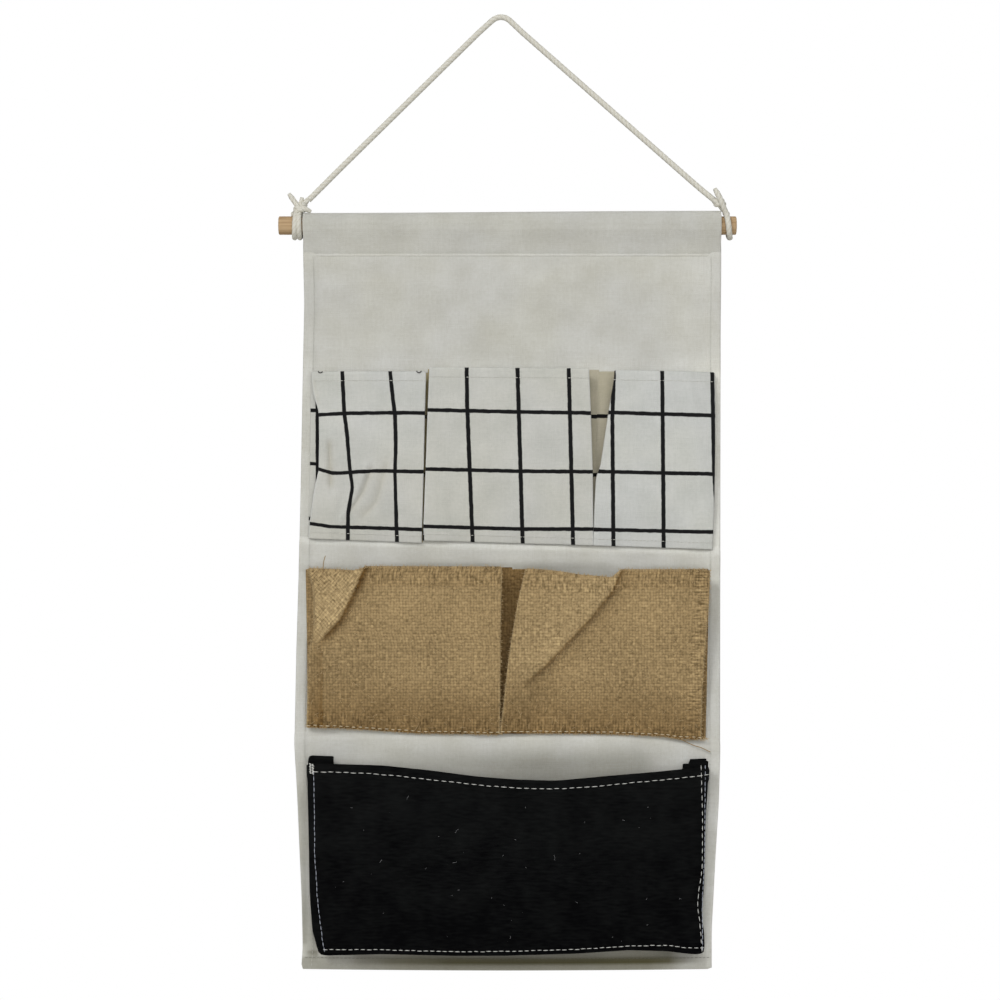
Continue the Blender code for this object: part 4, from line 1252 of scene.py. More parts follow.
    def build(self) -> Piece:
        """Builds the folded cloth and its maps.

        Returns:
            The new object.
        """
        size = self.size
        share = np.linspace(0.0, 1.0, size.rows)
        left_fold, right_fold = self.side_x(size.left, share), self.side_x(size.right, share)
        bend = (size.cloth + FOLD_GAP) / 2.0
        x = mix(column(left_fold + bend), column(right_fold - bend), np.linspace(0.0, 1.0, size.columns))
        z = mix(*self.levels(x), column(share))
        left_x, left_d = self._side(size.left, -1.0, share, z[:, 0])
        right_x, right_d = self._side(size.right, 1.0, share, z[:, -1])
        all_x = np.concatenate((left_x, x, right_x[:, ::-1]), 1)
        all_d = np.concatenate((left_d, self.depth(x, z), right_d[:, ::-1]), 1)
        all_z = mix(*self.levels(all_x), column(share))
        points = np.stack((all_x, HEM_FRONT - all_d, all_z), axis=-1)
        side = left_x.shape[1]
        front = np.s_[:, side:-side]
        hem = np.zeros(all_x.shape)
        hem[front] = ease((z - (self.high - size.mouth_hem)) / HEM_STEP + 0.5)
        shell = Shell(points, size.cloth / 2.0, size.cloth / 2.0 + hem * (size.cloth + FOLD_GAP / 2.0))
        run = run_along(points[..., :2])
        cloth = np.stack((run - column(run[:, side]) + column(all_x[:, side]), all_z), axis=-1)
        if size.turned:
            flap = np.zeros(all_x.shape, bool)
            flap[front] = size.creases[0].flap(x, z) > self.FLAP_LEAST
            middle, cosine, sine = cloth[flap].mean(axis=0), math.cos(size.turned), math.sin(size.turned)
            cloth[flap] = middle + (cloth[flap] - middle) @ np.array(((cosine, sine), (-sine, cosine)))
        shell.maps["Cloth"] = cloth
        if size.uprights:
            shell.maps["Print"] = np.stack((self._print_across(points, run, side),
                                            self._print_up(points, side)), axis=-1)
        # Painted shade on the rear leaves: darker in the gaps, along dark folds and in the right slit
        for edge, part, fold in ((size.left, np.s_[:, :self.REAR], left_fold),
                                 (size.right, np.s_[:, -self.REAR:], right_fold)):
            away = np.abs(all_x[part] - column(fold))
            shade = size.fold_shade if edge.divider else size.leaf_shade
            shell.shade[part] = shade + edge.dark * (1.0 - ease((away - 0.0014) / 0.0022))
        past = all_x[:, -self.REAR:] - column(right_fold)
        shell.shade[:, -self.REAR:] += size.slit * (1.0 - ease((past - 0.0022) / 0.0024))
        # The front's painted shade and light, plus a darker tone by height
        shell.shade[front] = self._painted_shade(x, z) + read(size.tone, z) / MM
        if size.finish is Finish.BURLAP:
            shell.maps["Band"] = np.zeros((*all_x.shape, 2))
            shell.maps["Band"][front] = self._bands(x, z)
        return shell.build(size.name, size.finish.material)

    def _bands(self, x: Array, z: Array) -> Array:
        """Gives how rough the front is where its cloth is doubled or turned.

        Args:
            x, z: places across and up the front.

        Returns:
            Roughness of the upright and of the level threads.
        """
        size = self.size
        low, high = self.levels(x)
        share = np.clip(self.share_at(x, z), 0.0, 1.0)
        side = self.side_x(size.right, share) - x
        hem = ease((size.mouth_hem + self.HEM_EDGE - (high - z)) / 0.001)
        upright = 0.75 * hem + 0.75 * ease((0.0135 - (z - low)) / 0.003)
        level = (0.0 if size.right.divider else 0.9) * ease((0.013 - side) / 0.003)
        flap = 0.8 * size.creases[0].flap(x, z) * (0.5 if size.right.divider else 0.25)
        return np.stack((np.maximum(upright, flap), np.maximum(level, flap)), axis=-1)

    def _painted_shade(self, x: Array, z: Array) -> Array:
        """Gives the front's painted shade and light: its darker hem with a shadow line under it, its creases
        and its foot.

        Args:
            x, z: places across and up the front.

        Returns:
            Darkness at each place.
        """
        size = self.size
        if size.finish is not Finish.BURLAP:
            return sum((crease.hollow_shade(x, z) for crease in size.creases), np.zeros(x.shape))
        low, high = self.levels(x)
        below, foot = high - z, z - low
        # A painted shadow line under the hem's lower edge
        edge = hump(below - size.mouth_hem - self.HEM_EDGE, 0.0007)
        total = 0.10 + 0.12 * ease((size.mouth_hem + self.HEM_EDGE - below) / 0.0008) + 0.14 * edge
        for crease in size.creases:
            total = crease.paint_light_and_shade(x, z, total)
        # Darker towards the bottom edge
        return total + 0.48 * (1.0 - ease(foot / 0.056)) + 0.35 * (1.0 - ease(foot / 0.003))

    def _print_across(self, points: Array, run: Array, side: int) -> Array:
        """Counts the upright printed lines across the cloth.

        Args:
            points: the middle surface.
            run: length along each row.
            side: columns of each side's pleat.

        Returns:
            Rows by columns, whole numbers at the printed lines.
        """
        size, rear = self.size, self.REAR
        result = np.zeros(run.shape)
        last = run.shape[1] - side - 1
        for u, x, length, high in zip(result, points[..., 0], run, points[:, side, 2]):
            lines = np.array([float(read(line, high, self.LINE_SOFT)) for line in size.uprights])
            grid = float(np.mean(np.diff(lines)))
            near = np.concatenate(([lines[0] - grid], lines, [lines[-1] + grid]))
            u[:] = np.interp(x, near, np.arange(-1.0, len(lines) + 1.0))
            u[:side] = u[side] + (length[:side] - length[side]) / grid
            u[last + 1:] = u[last] + (length[last + 1:] - length[last]) / grid
            if size.left.print_line is not None:
                u[:rear] = -1.0 + (x[:rear] - size.left.print_line * MM) / grid
                u[rear:side] = np.linspace(u[rear - 1], u[side], side - rear)
            elif size.left.divider:
                u[:rear] = -0.5
            if size.right.divider:
                u[-rear:] = len(lines) + 0.5
        return result

    def _print_up(self, points: Array, side: int) -> Array:
        """Counts the level printed lines down the cloth.

        Args:
            points: the middle surface.
            side: columns of each side's pleat.

        Returns:
            Rows by columns, whole numbers at the printed lines.
        """
        size, rear = self.size, self.REAR
        x, z = points[..., 0], points[..., 2]
        levels = np.stack([read(line, x, 0.004) for line in size.levels])
        pitch = (levels[0] - levels[-1]) / (len(levels) - 1)
        v = np.where(z >= levels[0], (levels[0] - z) / pitch, 0.0)
        for place, (upper, lower) in enumerate(zip(levels[:-1], levels[1:])):
            v = np.where(z < upper, place + (upper - z) / (upper - lower), v)
        v = np.where(z < levels[-1], len(levels) - 1 + (levels[-1] - z) / pitch, v)
        v[:, :rear] -= self.DIVIDER_DROP if size.left.divider else self.PLEAT_DROP
        v[:, -rear:] -= self.DIVIDER_DROP if size.right.divider else 0.0
        return v

    def stitches(self, name: str, seed: int) -> Piece:
        """Lays the pocket's rows of stitches.

        Args:
            name: the new object's name.
            seed: seed of the small unevenness.

        Returns:
            The new object.
        """
        kind = self.size.stitch
        work = ThreadWork(name, kind, seed)
        for table in self.size.threads:
            work.add(self.row(table, kind.thread * 0.3))
        rows = work.build()
        kind.finish.slot
        return rows

    def spot(self, share: float, across: float) -> tuple[float, float]:
        """Gives the place at shares of the front's height and width."""
        left, right = (float(self.side_x(edge, share)) for edge in (self.size.left, self.size.right))
        x = mix(left, right, across)
        return x, mix(float(read(self.size.bottom, x)), float(read(self.size.mouth, x)), share)

    def fuzz(self, name: str, seed: int) -> Piece:
        """Lays loose fibres over the front and along its edges.

        Args:
            name: the new object's name.
            seed: seed of the scatter.

        Returns:
            The new object.
        """
        work = Fibres(name, 0.00024, Finish.FIBRE, seed)
        random = work.random
        for _ in range(self.FACE_FIBRES):
            place = self.spot(random.uniform(0.03, 0.98), random.uniform(0.0, 1.0))
            turn = random.uniform(0.0, 2.0 * math.pi)
            root = self.front_point(*place, 0.0)
            work.scatter(root, (math.cos(turn), -0.35, math.sin(turn)), 0.0034, 0.2, 0.3)
        rims = ((self.size.mouth, 1.0, 0.0032), (self.size.bottom, -1.0, 0.0022))
        for share in np.linspace(0.0, 1.0, self.RIM_FIBRES):
            x, _ = self.spot(1.0, share)
            for table, way, length in rims:
                x = x + random.normal(0.0, 0.0004)
                root = self.front_point(x, float(read(table, x)) - way * 0.0006, -0.0004)
                work.scatter(root, (0.0, -0.1, way), length, 0.6, 0.3)
        for across, out in ((0.0, -1.0), (1.0, 1.0)):
            for share in np.linspace(0.0, 1.0, self.SIDE_FIBRES):
                x, z = self.spot(share, across)
                root = self.front_point(x - out * 0.0004, z, -0.0006)
                work.scatter(root, (out, -0.1, 0.0), 0.0022, 0.6, 0.3)
        fibres = work.build()
        Finish.FIBRE.slot
        return fibres

    def loose_ends(self, name: str) -> Piece:
        """Lays the yarn ends that stray from the cloth.

        Args:
            name: the new object's name.

        Returns:
            The new object.
        """
        thickness, finish = self.size.yarn
        work = Fibres(name, thickness, finish, 1)
        for course in self.size.strays:
            work.add(even_path(np.array(course) * MM, 0.0008))
        ends = work.build()
        finish.slot
        return ends

    def dress(self, piece: Piece, seed: int) -> list[Piece]:
        """Args:
            piece: the folded cloth.
            seed: the pocket's own number, for its unevenness.

        Returns:
            The cloth and what is on it.
        """
        size = self.size
        title = size.body.removesuffix("_front")
        extras = [self.stitches(f"{title}_stitches", seed + 10)]
        if size.finish is Finish.BURLAP:
            extras.append(self.fuzz(f"{title}_fuzz", seed + 20))
        if size.strays:
            extras.append(self.loose_ends(f"{title}_loose_ends"))
        size.finish.slot
        for thing in (piece, *extras):
            self.bend().apply(thing)
        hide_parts(*size.nodes)
        return [piece, *extras]


FINE = StitchKind(0.0030, 0.0024, 0.0005, Finish.HEM_THREAD)
JUTE_STITCH = StitchKind(0.0052, 0.0036, 0.00072, Finish.JUTE_THREAD, 0.0003)

grid_pocket = partial(
    PocketSize, cloth=0.0010, leaf=0.016, mouth_depth=0.012, mouth_hem=0.008, finish=Finish.GRID,
    bend=(0.0009, 0.0025, 0.007), stitch=FINE, yarn=(0.0008, Finish.PRINTED_YARN),
)
jute_pocket = partial(
    PocketSize, cloth=0.0016, leaf=0.017, mouth_depth=0.017, mouth_hem=0.012, finish=Finish.BURLAP,
    bend=(0.001, 0.004, 0.009), rows=108, fold_shade=0.72, stitch=JUTE_STITCH,
    yarn=(0.0007, Finish.YARN),
)

GRID_LEVELS_LEFT = (
    ((-147.2, -321.7), (-126.9, -320.4), (-82.2, -319.9), (-61.0, -320.2)),
    ((-154.5, -364.9), (-147.2, -365.6), (-138.0, -369.2), (-126.9, -368.7), (-102.5, -367.0),
     (-62.6, -367.8)),
    ((-157.0, -409.6), (-139.1, -412.4), (-82.2, -414.2), (-64.3, -415.0)),
)
GRID_LEVELS_CENTRE = (
    ((-60.2, -317.6), (15.5, -319.3), (72.4, -320.1)),
    ((-61.0, -365.6), (15.5, -367.4), (72.4, -367.8)),
    ((-61.8, -412.2), (15.5, -414.4), (74.8, -414.4)),
)
GRID_LEVELS_RIGHT = (
    ((90.3, -319.7), (131.0, -321.0), (174.1, -322.2)),
    ((80.5, -367.6), (131.0, -368.8), (173.3, -369.6)),
    ((76.5, -414.8), (131.0, -416.0), (171.6, -416.9)),
)
GRID_DIVIDER_LEFT = ((-424.0, -64.3), (-286.7, -59.2))
GRID_DIVIDER_RIGHT = ((-427.0, 75.2), (-371.7, 76.0), (-286.7, 80.0))
JUTE_DIVIDER = ((-580.0, -0.8), (-446.0, 9.0))

GRID_LEFT = grid_pocket(
    name="grid_pocket_left_cloth", body="grid_left_front",
    nodes=("grid_pocket_left", "grid_pleat_left", "grid_hem_left"),
    left=Edge(((-423.4, -156.6), (-403.0, -154.5), (-386.8, -152.1), (-374.0, -149.6), (-369.0, -147.9),
               (-342.0, -147.4), (-318.8, -147.7), (-313.8, -149.4), (-304.5, -152.3), (-286.7, -154.1)),
              ((-423.4, -156.8), (-365.0, -155.5), (-286.7, -154.6)),
              facet_width=0.30, facet_from=0.30, facet_depth=0.0035, print_line=-149.6),
    right=Edge(((-424.2, -65.1), (-365.6, -63.3), (-320.1, -62.2), (-286.7, -61.2)), GRID_DIVIDER_LEFT, True,
               dark=0.3),
    mouth=((-154.5, -287.3), (-60.2, -287.3)), bottom=((-157.0, -421.7), (-64.6, -425.4)),
    columns=104, rows=112,
    creases=(
        Crease(((-139.9, -338.1), (-138.3, -384.7)), -0.0026, 0.0030, 0.0022, tone=0.16),
        Crease(((-125.6, -404.6), (-112.0, -384.0), (-103.9, -362.6)), -0.0022, 0.0040, 0.0026, tone=0.13),
        Crease(((-118.2, -410.1), (-101.4, -392.8), (-90.2, -352.0)), -0.0014, 0.0045, 0.0030, tone=0.10),
        Crease(((-152.9, -290.3), (-147.9, -316.1)), -0.0007, 0.0022, 0.0022, tone=0.08),
        Crease(((-136.0, -416.0), (-118.0, -388.0), (-108.0, -360.0)), 0.0016, 0.0040, 0.0035, tone=-0.05),
    ),
    ripple=Ripple(0.00035, 0.045, 11),
    uprights=(
        ((-423.4, -124.9), (-399.5, -124.5), (-379.5, -120.6), (-366.8, -122.7), (-333.9, -125.3),
         (-320.1, -127.3), (-288.4, -128.7)),
        ((-424.2, -84.6), (-368.1, -86.2), (-346.9, -85.4), (-323.3, -85.9), (-287.5, -90.0)),
    ),
    levels=GRID_LEVELS_LEFT, flat=(0.1600, 0.1540),
    threads=(((-151.0, -293.9), (-61.5, -293.9)), ((-155.0, -417.0), (-66.0, -420.5))),
    strays=(
        ((-148.6, -1.9, -286.2), (-147.6, -2.3, -288.0), (-146.0, -2.5, -287.8), (-145.0, -2.4, -286.4)),
        ((-68.6, -4.3, -286.0), (-67.4, -4.7, -287.9), (-65.6, -4.8, -287.6), (-64.6, -4.5, -286.0)),
    ),
    tone=((-423.0, 0.11), (-372.0, 0.09), (-330.0, 0.03), (-285.0, 0.025)),
)
GRID_CENTRE = grid_pocket(
    name="grid_pocket_centre_cloth", body="grid_centre_front",
    nodes=("grid_pocket_centre", "grid_divider_left", "grid_hem_centre"),
    left=Edge(((-423.4, -63.5), (-412.0, -62.7), (-364.8, -60.8), (-317.6, -59.1), (-284.3, -57.8)),
              GRID_DIVIDER_LEFT, True, dark=0.3),
    right=Edge(((-427.0, 75.0), (-365.6, 74.2), (-318.9, 72.6), (-285.9, 71.2)), GRID_DIVIDER_RIGHT, True),
    mouth=((-58.6, -284.1), (71.2, -284.9)), bottom=((-63.8, -423.4), (75.0, -427.4)),
    columns=120, rows=100,
    ripple=Ripple(0.00028, 0.06, 5),
    uprights=(
        ((-424.2, -23.1), (-311.9, -27.5), (-284.3, -27.9)),
        ((-426.6, 17.8), (-285.1, 13.4)),
        ((-426.6, 58.9), (-285.1, 55.0)),
    ),
    levels=GRID_LEVELS_CENTRE, flat=(0.2000, 0.1570),
    threads=(((-57.8, -290.8), (70.8, -291.8)), ((-62.8, -418.6), (73.5, -422.4))),
    tone=((-427.0, 0.09), (-285.0, 0.075)),
)
GRID_RIGHT = grid_pocket(
    name="grid_pocket_right_cloth", body="grid_right_front",
    nodes=("grid_pocket_right", "grid_divider_right", "grid_pleat_right", "grid_hem_right"),
    left=Edge(((-427.0, 75.7), (-396.9, 76.5), (-371.7, 77.8), (-366.9, 80.8), (-318.9, 87.9), (-291.6, 92.5)),
              GRID_DIVIDER_RIGHT, True),
    right=Edge(((-429.1, 172.0), (-418.5, 172.5), (-385.1, 173.4), (-337.2, 174.0), (-288.4, 173.8)),
               ((-429.1, 172.0), (-288.4, 173.3)), facet_width=0.25, facet_from=0.0, facet_depth=0.006),
    mouth=((92.5, -286.2), (175.3, -287.9)), bottom=((75.4, -427.4), (172.5, -430.7)),
    columns=104, rows=100,
    ripple=Ripple(0.00028, 0.05, 8),
    uprights=(
        ((-428.3, 91.6), (-325.0, 90.4), (-292.4, 91.6)),
        ((-429.1, 132.6), (-286.7, 130.8)),
        ((-423.4, 177.0), (-400.0, 175.8), (-385.1, 174.6), (-365.0, 173.1), (-337.2, 172.5), (-288.4, 171.8)),
    ),
    levels=GRID_LEVELS_RIGHT, flat=(0.1550, 0.1580),
    threads=(((92.0, -293.2), (174.5, -294.6)), ((77.0, -422.6), (171.8, -425.8))),
)
JUTE_LEFT = jute_pocket(
    name="jute_pocket_left_cloth", body="jute_left_front",
    nodes=("jute_pocket_left", "jute_pleat_left", "jute_hem_left"),
    left=Edge(((-575.9, -157.8), (-553.0, -156.6), (-530.0, -155.9), (-510.0, -154.5), (-498.0, -151.6),
               (-468.0, -151.6), (-458.0, -153.5), (-445.8, -157.6)),
              ((-575.9, -157.9), (-553.0, -157.2), (-504.7, -157.5), (-445.8, -158.6)),
              facet_width=0.30, facet_from=0.47, facet_depth=0.008),
    right=Edge(((-581.2, -1.6), (-488.4, -0.7), (-444.5, 0.4)), JUTE_DIVIDER, True),
    mouth=((-158.2, -447.6), (-127.7, -448.6), (-117.9, -449.0), (-109.8, -446.0), (-0.8, -446.3)),
    bottom=((-159.0, -575.3), (-130.0, -576.3), (-110.6, -577.4), (-68.3, -580.4), (-0.8, -581.2)),
    columns=150,
    creases=(Crease(((-150.8, -509.1), (-144.8, -503.1), (-131.0, -488.0), (-123.1, -473.0), (-117.4, -461.6),
                     (-109.8, -443.0)), 0.0048, 0.012, 0.0036, under=0.66, wide=0.16, ridge=0.55,
                    narrow=0.0038, lift=0.22),
             Crease(((-144.8, -502.0), (-144.2, -540.0), (-145.2, -576.0)), 0.0008, 0.006, 0.004,
                    over=0.0, under=0.14, wide=0.24, reach=0.012, ridge=0.0, lift=0.0)),
    ripple=Ripple(0.00035, 0.06, 21), flat=(0.2250, 0.1570), leaf_shade=0.30,
    threads=(((-156.9, -574.2), (-130.0, -575.1), (-110.6, -576.3), (-68.3, -579.2), (-2.6, -580.0)),),
    strays=(
        ((-144.6, -4.7, -450.0), (-144.0, -5.0, -441.0), (-142.5, -4.6, -436.0)),
        ((-26.0, -3.9, -537.0), (-24.0, -4.9, -533.0), (-22.5, -5.4, -530.0)),
        ((-72.0, 3.5, -580.0), (-69.0, 2.9, -577.0), (-67.0, 2.0, -573.0)),
    ),
    turned=0.75,
)
JUTE_RIGHT = jute_pocket(
    name="jute_pocket_right_cloth", body="jute_right_front",
    nodes=("jute_pocket_right", "jute_divider", "jute_pleat_right", "jute_hem_right"),
    left=Edge(((-580.4, -0.2), (-566.5, 1.8), (-538.1, 4.8), (-519.4, 7.1), (-497.4, 10.6), (-474.6, 14.6),
               (-446.1, 21.1)), JUTE_DIVIDER, True),
    right=Edge(((-583.6, 162.6), (-545.4, 163.0), (-525.0, 164.2), (-492.5, 166.6), (-472.2, 168.1),
                (-447.0, 168.8)), ((-583.6, 166.2), (-537.0, 167.4), (-472.0, 168.7), (-447.0, 169.3))),
    mouth=((21.1, -447.9), (36.6, -448.9), (48.8, -450.3), (61.8, -452.5), (78.7, -453.7), (89.5, -454.8),
           (92.7, -451.9), (96.6, -448.5), (171.6, -448.4)),
    bottom=((-0.4, -580.4), (66.7, -580.6), (105.0, -581.6), (126.1, -582.5), (144.0, -584.5), (166.7, -585.2)),
    columns=160,
    creases=(Crease(((12.3, -545.7), (16.3, -541.7), (36.6, -523.8), (52.1, -507.2), (71.6, -486.8),
                     (90.3, -463.2), (97.6, -446.0)), 0.0045, 0.020, 0.0036, wide=0.16, reach=0.014),),
    ripple=Ripple(0.00035, 0.06, 27), flat=(0.2350, 0.1600), leaf_shade=0.20, slit=0.50,
    threads=(((1.4, -579.2), (66.7, -579.4), (105.0, -580.4), (126.1, -581.3), (144.0, -583.3),
              (162.0, -584.0)),),
    strays=(
        ((140.0, 2.9, -582.5), (147.0, 3.6, -586.0), (156.2, 3.7, -590.5), (163.0, 3.4, -592.5),
         (170.5, 2.6, -596.0)),
        ((126.0, 3.3, -581.5), (138.0, 3.5, -584.5), (150.0, 3.6, -586.5), (160.0, 3.6, -586.0)),
    ),
)


@dataclass(frozen=True)
class PanelSize:
    """Sizes of the canvas panel."""

    left: Table = ((-771.5, -161.9), (-757.0, -160.7), (-716.2, -161.6), (-675.5, -163.4), (-634.8, -165.1),
                   (-590.1, -167.5), (-512.8, -165.9), (-439.6, -163.7), (-390.8, -162.6), (-268.8, -160.3),
                   (-228.0, -159.2), (-160.6, -160.4))
    right: Table = ((-771.5, 170.9), (-740.6, 170.9), (-716.2, 172.3), (-683.7, 173.9), (-634.8, 176.9),
                    (-602.3, 177.7), (-440.0, 177.9), (-300.0, 178.1), (-160.6, 178.2))
    cloth: float = 0.0012
    bottom: float = -0.7726
    hem: float = 0.0085
    bottom_hem: float = 0.010
    dowel_z: float = -0.1676
    sleeve: float = 0.0096
    seam: float = -0.1903
    allowance: float = 0.0015
    lean: float = 0.0065
    lean_reach: float = 0.075
    sag: float = 0.0013
    columns: int = 130
    crowding: float = 0.03
    hem_step: float = 0.0008
    slack: float = 0.0018
    flat: tuple[float, float] = (0.357, 0.700)
    seams: tuple[Table, ...] = (
        ((-155.3, -289.0), (-156.5, -420.5), (-60.0, -424.0), (75.6, -426.0), (172.0, -429.5),
         (173.8, -289.5)),
        ((-60.0, -287.0), (-64.0, -423.5)), ((80.0, -287.5), (75.8, -425.5)),
        ((-157.6, -448.0), (-158.2, -575.0), (-68.0, -579.0), (0.0, -580.0), (126.0, -580.5),
         (168.6, -583.6), (170.2, -449.0)),
        ((9.0, -447.5), (-0.8, -579.5)),
        ((-154.6, -602.0), (-153.6, -710.0), (-148.6, -746.0), (-143.0, -756.5), (60.0, -756.0),
         (160.0, -755.0), (163.0, -748.0), (166.0, -690.0), (168.0, -604.0)),
    )


class Panel:
    """The canvas panel: one cloth up the back, round the dowel and down to the sleeve's seam."""

    BACK_ROWS = 236
    # Painted light and shade on the sleeve's front by height: darker above zero, lighter below
    SLEEVE_LIGHT_AND_SHADE = ((-192.0, -0.03), (-189.5, -0.04), (-186.7, -0.09), (-183.4, -0.08), (-178.5, -0.05),
                   (-173.5, -0.05), (-171.0, 0.0), (-168.8, 0.10), (-167.2, 0.13), (-162.3, 0.11),
                   (-159.0, 0.03), (-158.0, 0.01))
    # Painted shadow under the denim pocket: rows of darkness across, each with the height where it takes over
    # and its softness
    FOOT_SHADOW = (
        (((-150.0, 0.0), (-131.0, 0.0), (-115.0, 0.52), (-90.0, 0.47), (-66.0, 0.67), (-33.0, 0.62),
          (120.0, 0.62), (137.5, 0.74), (150.0, 0.25), (160.0, 0.0)), -0.7545, 0.003),
        (((-156.0, 0.50), (-131.0, 0.45), (-115.0, 0.72), (-90.0, 0.90), (-66.0, 0.96), (-33.0, 1.03),
          (120.0, 1.05), (137.5, 1.0), (150.0, 0.66), (160.0, 0.29), (168.0, 0.05)), -0.7605, 0.0055),
        (((-156.0, 0.46), (-131.0, 0.53), (-115.0, 0.62), (-90.0, 0.70), (-66.0, 0.77), (120.0, 0.72),
          (137.5, 0.57), (150.0, 0.35), (168.0, 0.27)), -0.7675, 0.0035),
    )
    # Strength of the painted shadow under the denim pocket
    FOOT_SHADOW_DARK = 0.95
    # Painted shade on the panel above the denim pocket's mouth, by place across, within the area below
    BEHIND_DENIM_SHADE = ((-110.0, 0.0), (-82.0, 0.17), (-33.0, 0.30), (0.0, 0.42), (24.0, 0.48), (113.0, 0.36),
              (135.0, 0.0), (150.0, -0.12))
    BEHIND_DENIM_SHADE_AREA = ShadePatch(1.0, over=(-660.0, SHARP), under=(-586.0, 22.0))
    GRID_FOOT = ((-157.0, -421.5), (172.5, -430.0))
    JUTE_FOOT = ((100.0, -580.0), (144.0, -586.2), (168.0, -586.6))
    BULGES = (
        Bulge(-0.300, ((0.0, -205.0),), 0.014, 0.010, 0.0009, 0.5),
        Bulge(-0.452, GRID_FOOT, 0.010, 0.003, 0.0022, 0.2),
        Bulge(-0.622, JUTE_FOOT, 0.038, 0.005, 0.0042, 0.25),
    )
    # Painted shade and light: shadow in the nook by the denim pocket's lower left corner, shade down the
    # panel's left beside it, light down its right, a darker lower panel and a darker top band, light to the
    # right, light over the grid mouths and beside the right grid pocket, and shade over the jute mouths
    NOOK_SHADOW = {"right_of": (-161.0, 6.0), "left_of": (-147.5, 3.0)}
    SHADE_PATCHES = (
        ShadePatch(0.11, **NOOK_SHADOW, over=(-766.5, 3.0), under=(-738.0, 8.0)),
        ShadePatch(0.42, **NOOK_SHADOW, over=(-764.8, 4.2), under=(-756.4, 4.2)),
        ShadePatch(0.28, left_of=(-156.5, 4.0), over=(-754.5, SHARP), under=(-615.0, 30.0)),
        ShadePatch(0.22, left_of=(-149.0, 3.0), over=(-760.5, SHARP), under=(-700.0, 30.0)),
        ShadePatch(-0.20, right_of=(166.0, 3.0), under=(-615.0, 30.0)),
        ShadePatch(0.05, under=(-200.0, 120.0)),
        ShadePatch(0.055, over=(-290.0, 60.0)),
        ShadePatch(-0.07, right_of=(110.0, 50.0), over=(-460.0, SHARP)),
        ShadePatch(-0.12, over=(-310.0, 10.0), under=(-270.0, 12.0)),
        ShadePatch(-0.22, right_of=(172.5, 1.0), over=(-432.0, 4.0), under=(-283.0, 4.0)),
        ShadePatch(0.22, right_of=(-100.0, 50.0), left_of=(100.0, 20.0), over=(-475.0, 20.0), under=(-438.5, 6.0)),
    )
    CONTACT_LIGHT = 0.18

    def __init__(self, size: PanelSize) -> None:
        """Keeps the sizes."""
        self.size = size

    def ripple(self, x: Array, z: Array) -> Array:
        """Gives how far the loose cloth bulges forward."""
        wave = np.clip(Ripple(1.0, 0.09, 31).at(x, z), -1.0, 1.0)
        return sum(bulge.at(x, z, wave) for bulge in self.BULGES)

    def sag(self, x: Array, z: Array) -> Array:
        """Gives how far the bottom edge drops between its corners."""
        return self.size.sag * (1.0 - ((x - 0.005) / 0.167) ** 2) * ease((-0.74 - z) / 0.03)

    def shade(self, x: Array, z: Array) -> Array:
        """Gives the cloth's painted shade between and round its pockets, and painted light below zero.

        Args:
            x, z: places across and up the cloth.

        Returns:
            Darkness, below zero where the cloth is lighter.
        """
        # The painted shadow strip under the denim pocket
        foot = np.zeros(x.shape)
        for table, start, soft in self.FOOT_SHADOW:
            foot = mix(foot, read(table, x) / MM, ease((start - z) / soft))
        # Painted shade above the denim pocket's mouth
        behind_shade = read(self.BEHIND_DENIM_SHADE, x) / MM * self.BEHIND_DENIM_SHADE_AREA.at(x, z)
        # Painted light that softens the contact shadow under the grid pockets
        gap = read(self.GRID_FOOT, x) - z
        contact = ease((gap + 0.001) / 0.001) * ease((0.007 - gap) / 0.003)
        # Patches of painted shade and light
        patch_shade = sum(shade_patch.at(x, z) for shade_patch in self.SHADE_PATCHES)
        return self.FOOT_SHADOW_DARK * foot + behind_shade + patch_shade - self.CONTACT_LIGHT * contact

    def lean(self, z: Array) -> Array:
        """Gives how far the cloth leans forward near the sleeve's seam.

        Args:
            z: places up the cloth.

        Returns:
            Distances in metres.
        """
        size = self.size
        above = ease((size.dowel_z - z) / (size.dowel_z - size.seam))
        return size.lean * np.where(z < size.seam, ease((z - size.seam) / size.lean_reach + 1.0), above)

    def profile(self) -> tuple[Array, Array]:
        """Lays the path of the cloth's middle from the bottom up, round the dowel and down to the seam.

        Returns:
            Depths and heights.
        """
        size = self.size
        seat, drop = PANEL_FRONT + 0.0002 - size.lean, size.seam - size.dowel_z
        last = math.atan2(drop, seat) % (2.0 * math.pi) - math.acos(size.sleeve / math.hypot(seat, drop))
        up = np.linspace(size.bottom, size.dowel_z, self.BACK_ROWS)
        turn = np.linspace(0.0, last, 32)[1:]
        down, tail = np.linspace(0.0, 1.0, 20)[1:], np.linspace(0.0, 1.0, 4)[1:]
        back = mix(PANEL_FRONT + size.cloth / 2.0, size.sleeve, ease((up - size.dowel_z) / 0.02 + 1.0))
        y = (back - self.lean(up), size.sleeve * np.cos(turn),
             mix(size.sleeve * math.cos(last), seat, down), np.full(tail.shape, seat))
        z = (up, size.dowel_z + size.sleeve * np.sin(turn),
             size.dowel_z + mix(size.sleeve * math.sin(last), drop, down), size.seam - size.allowance * tail)
        return np.concatenate(y), np.concatenate(z)

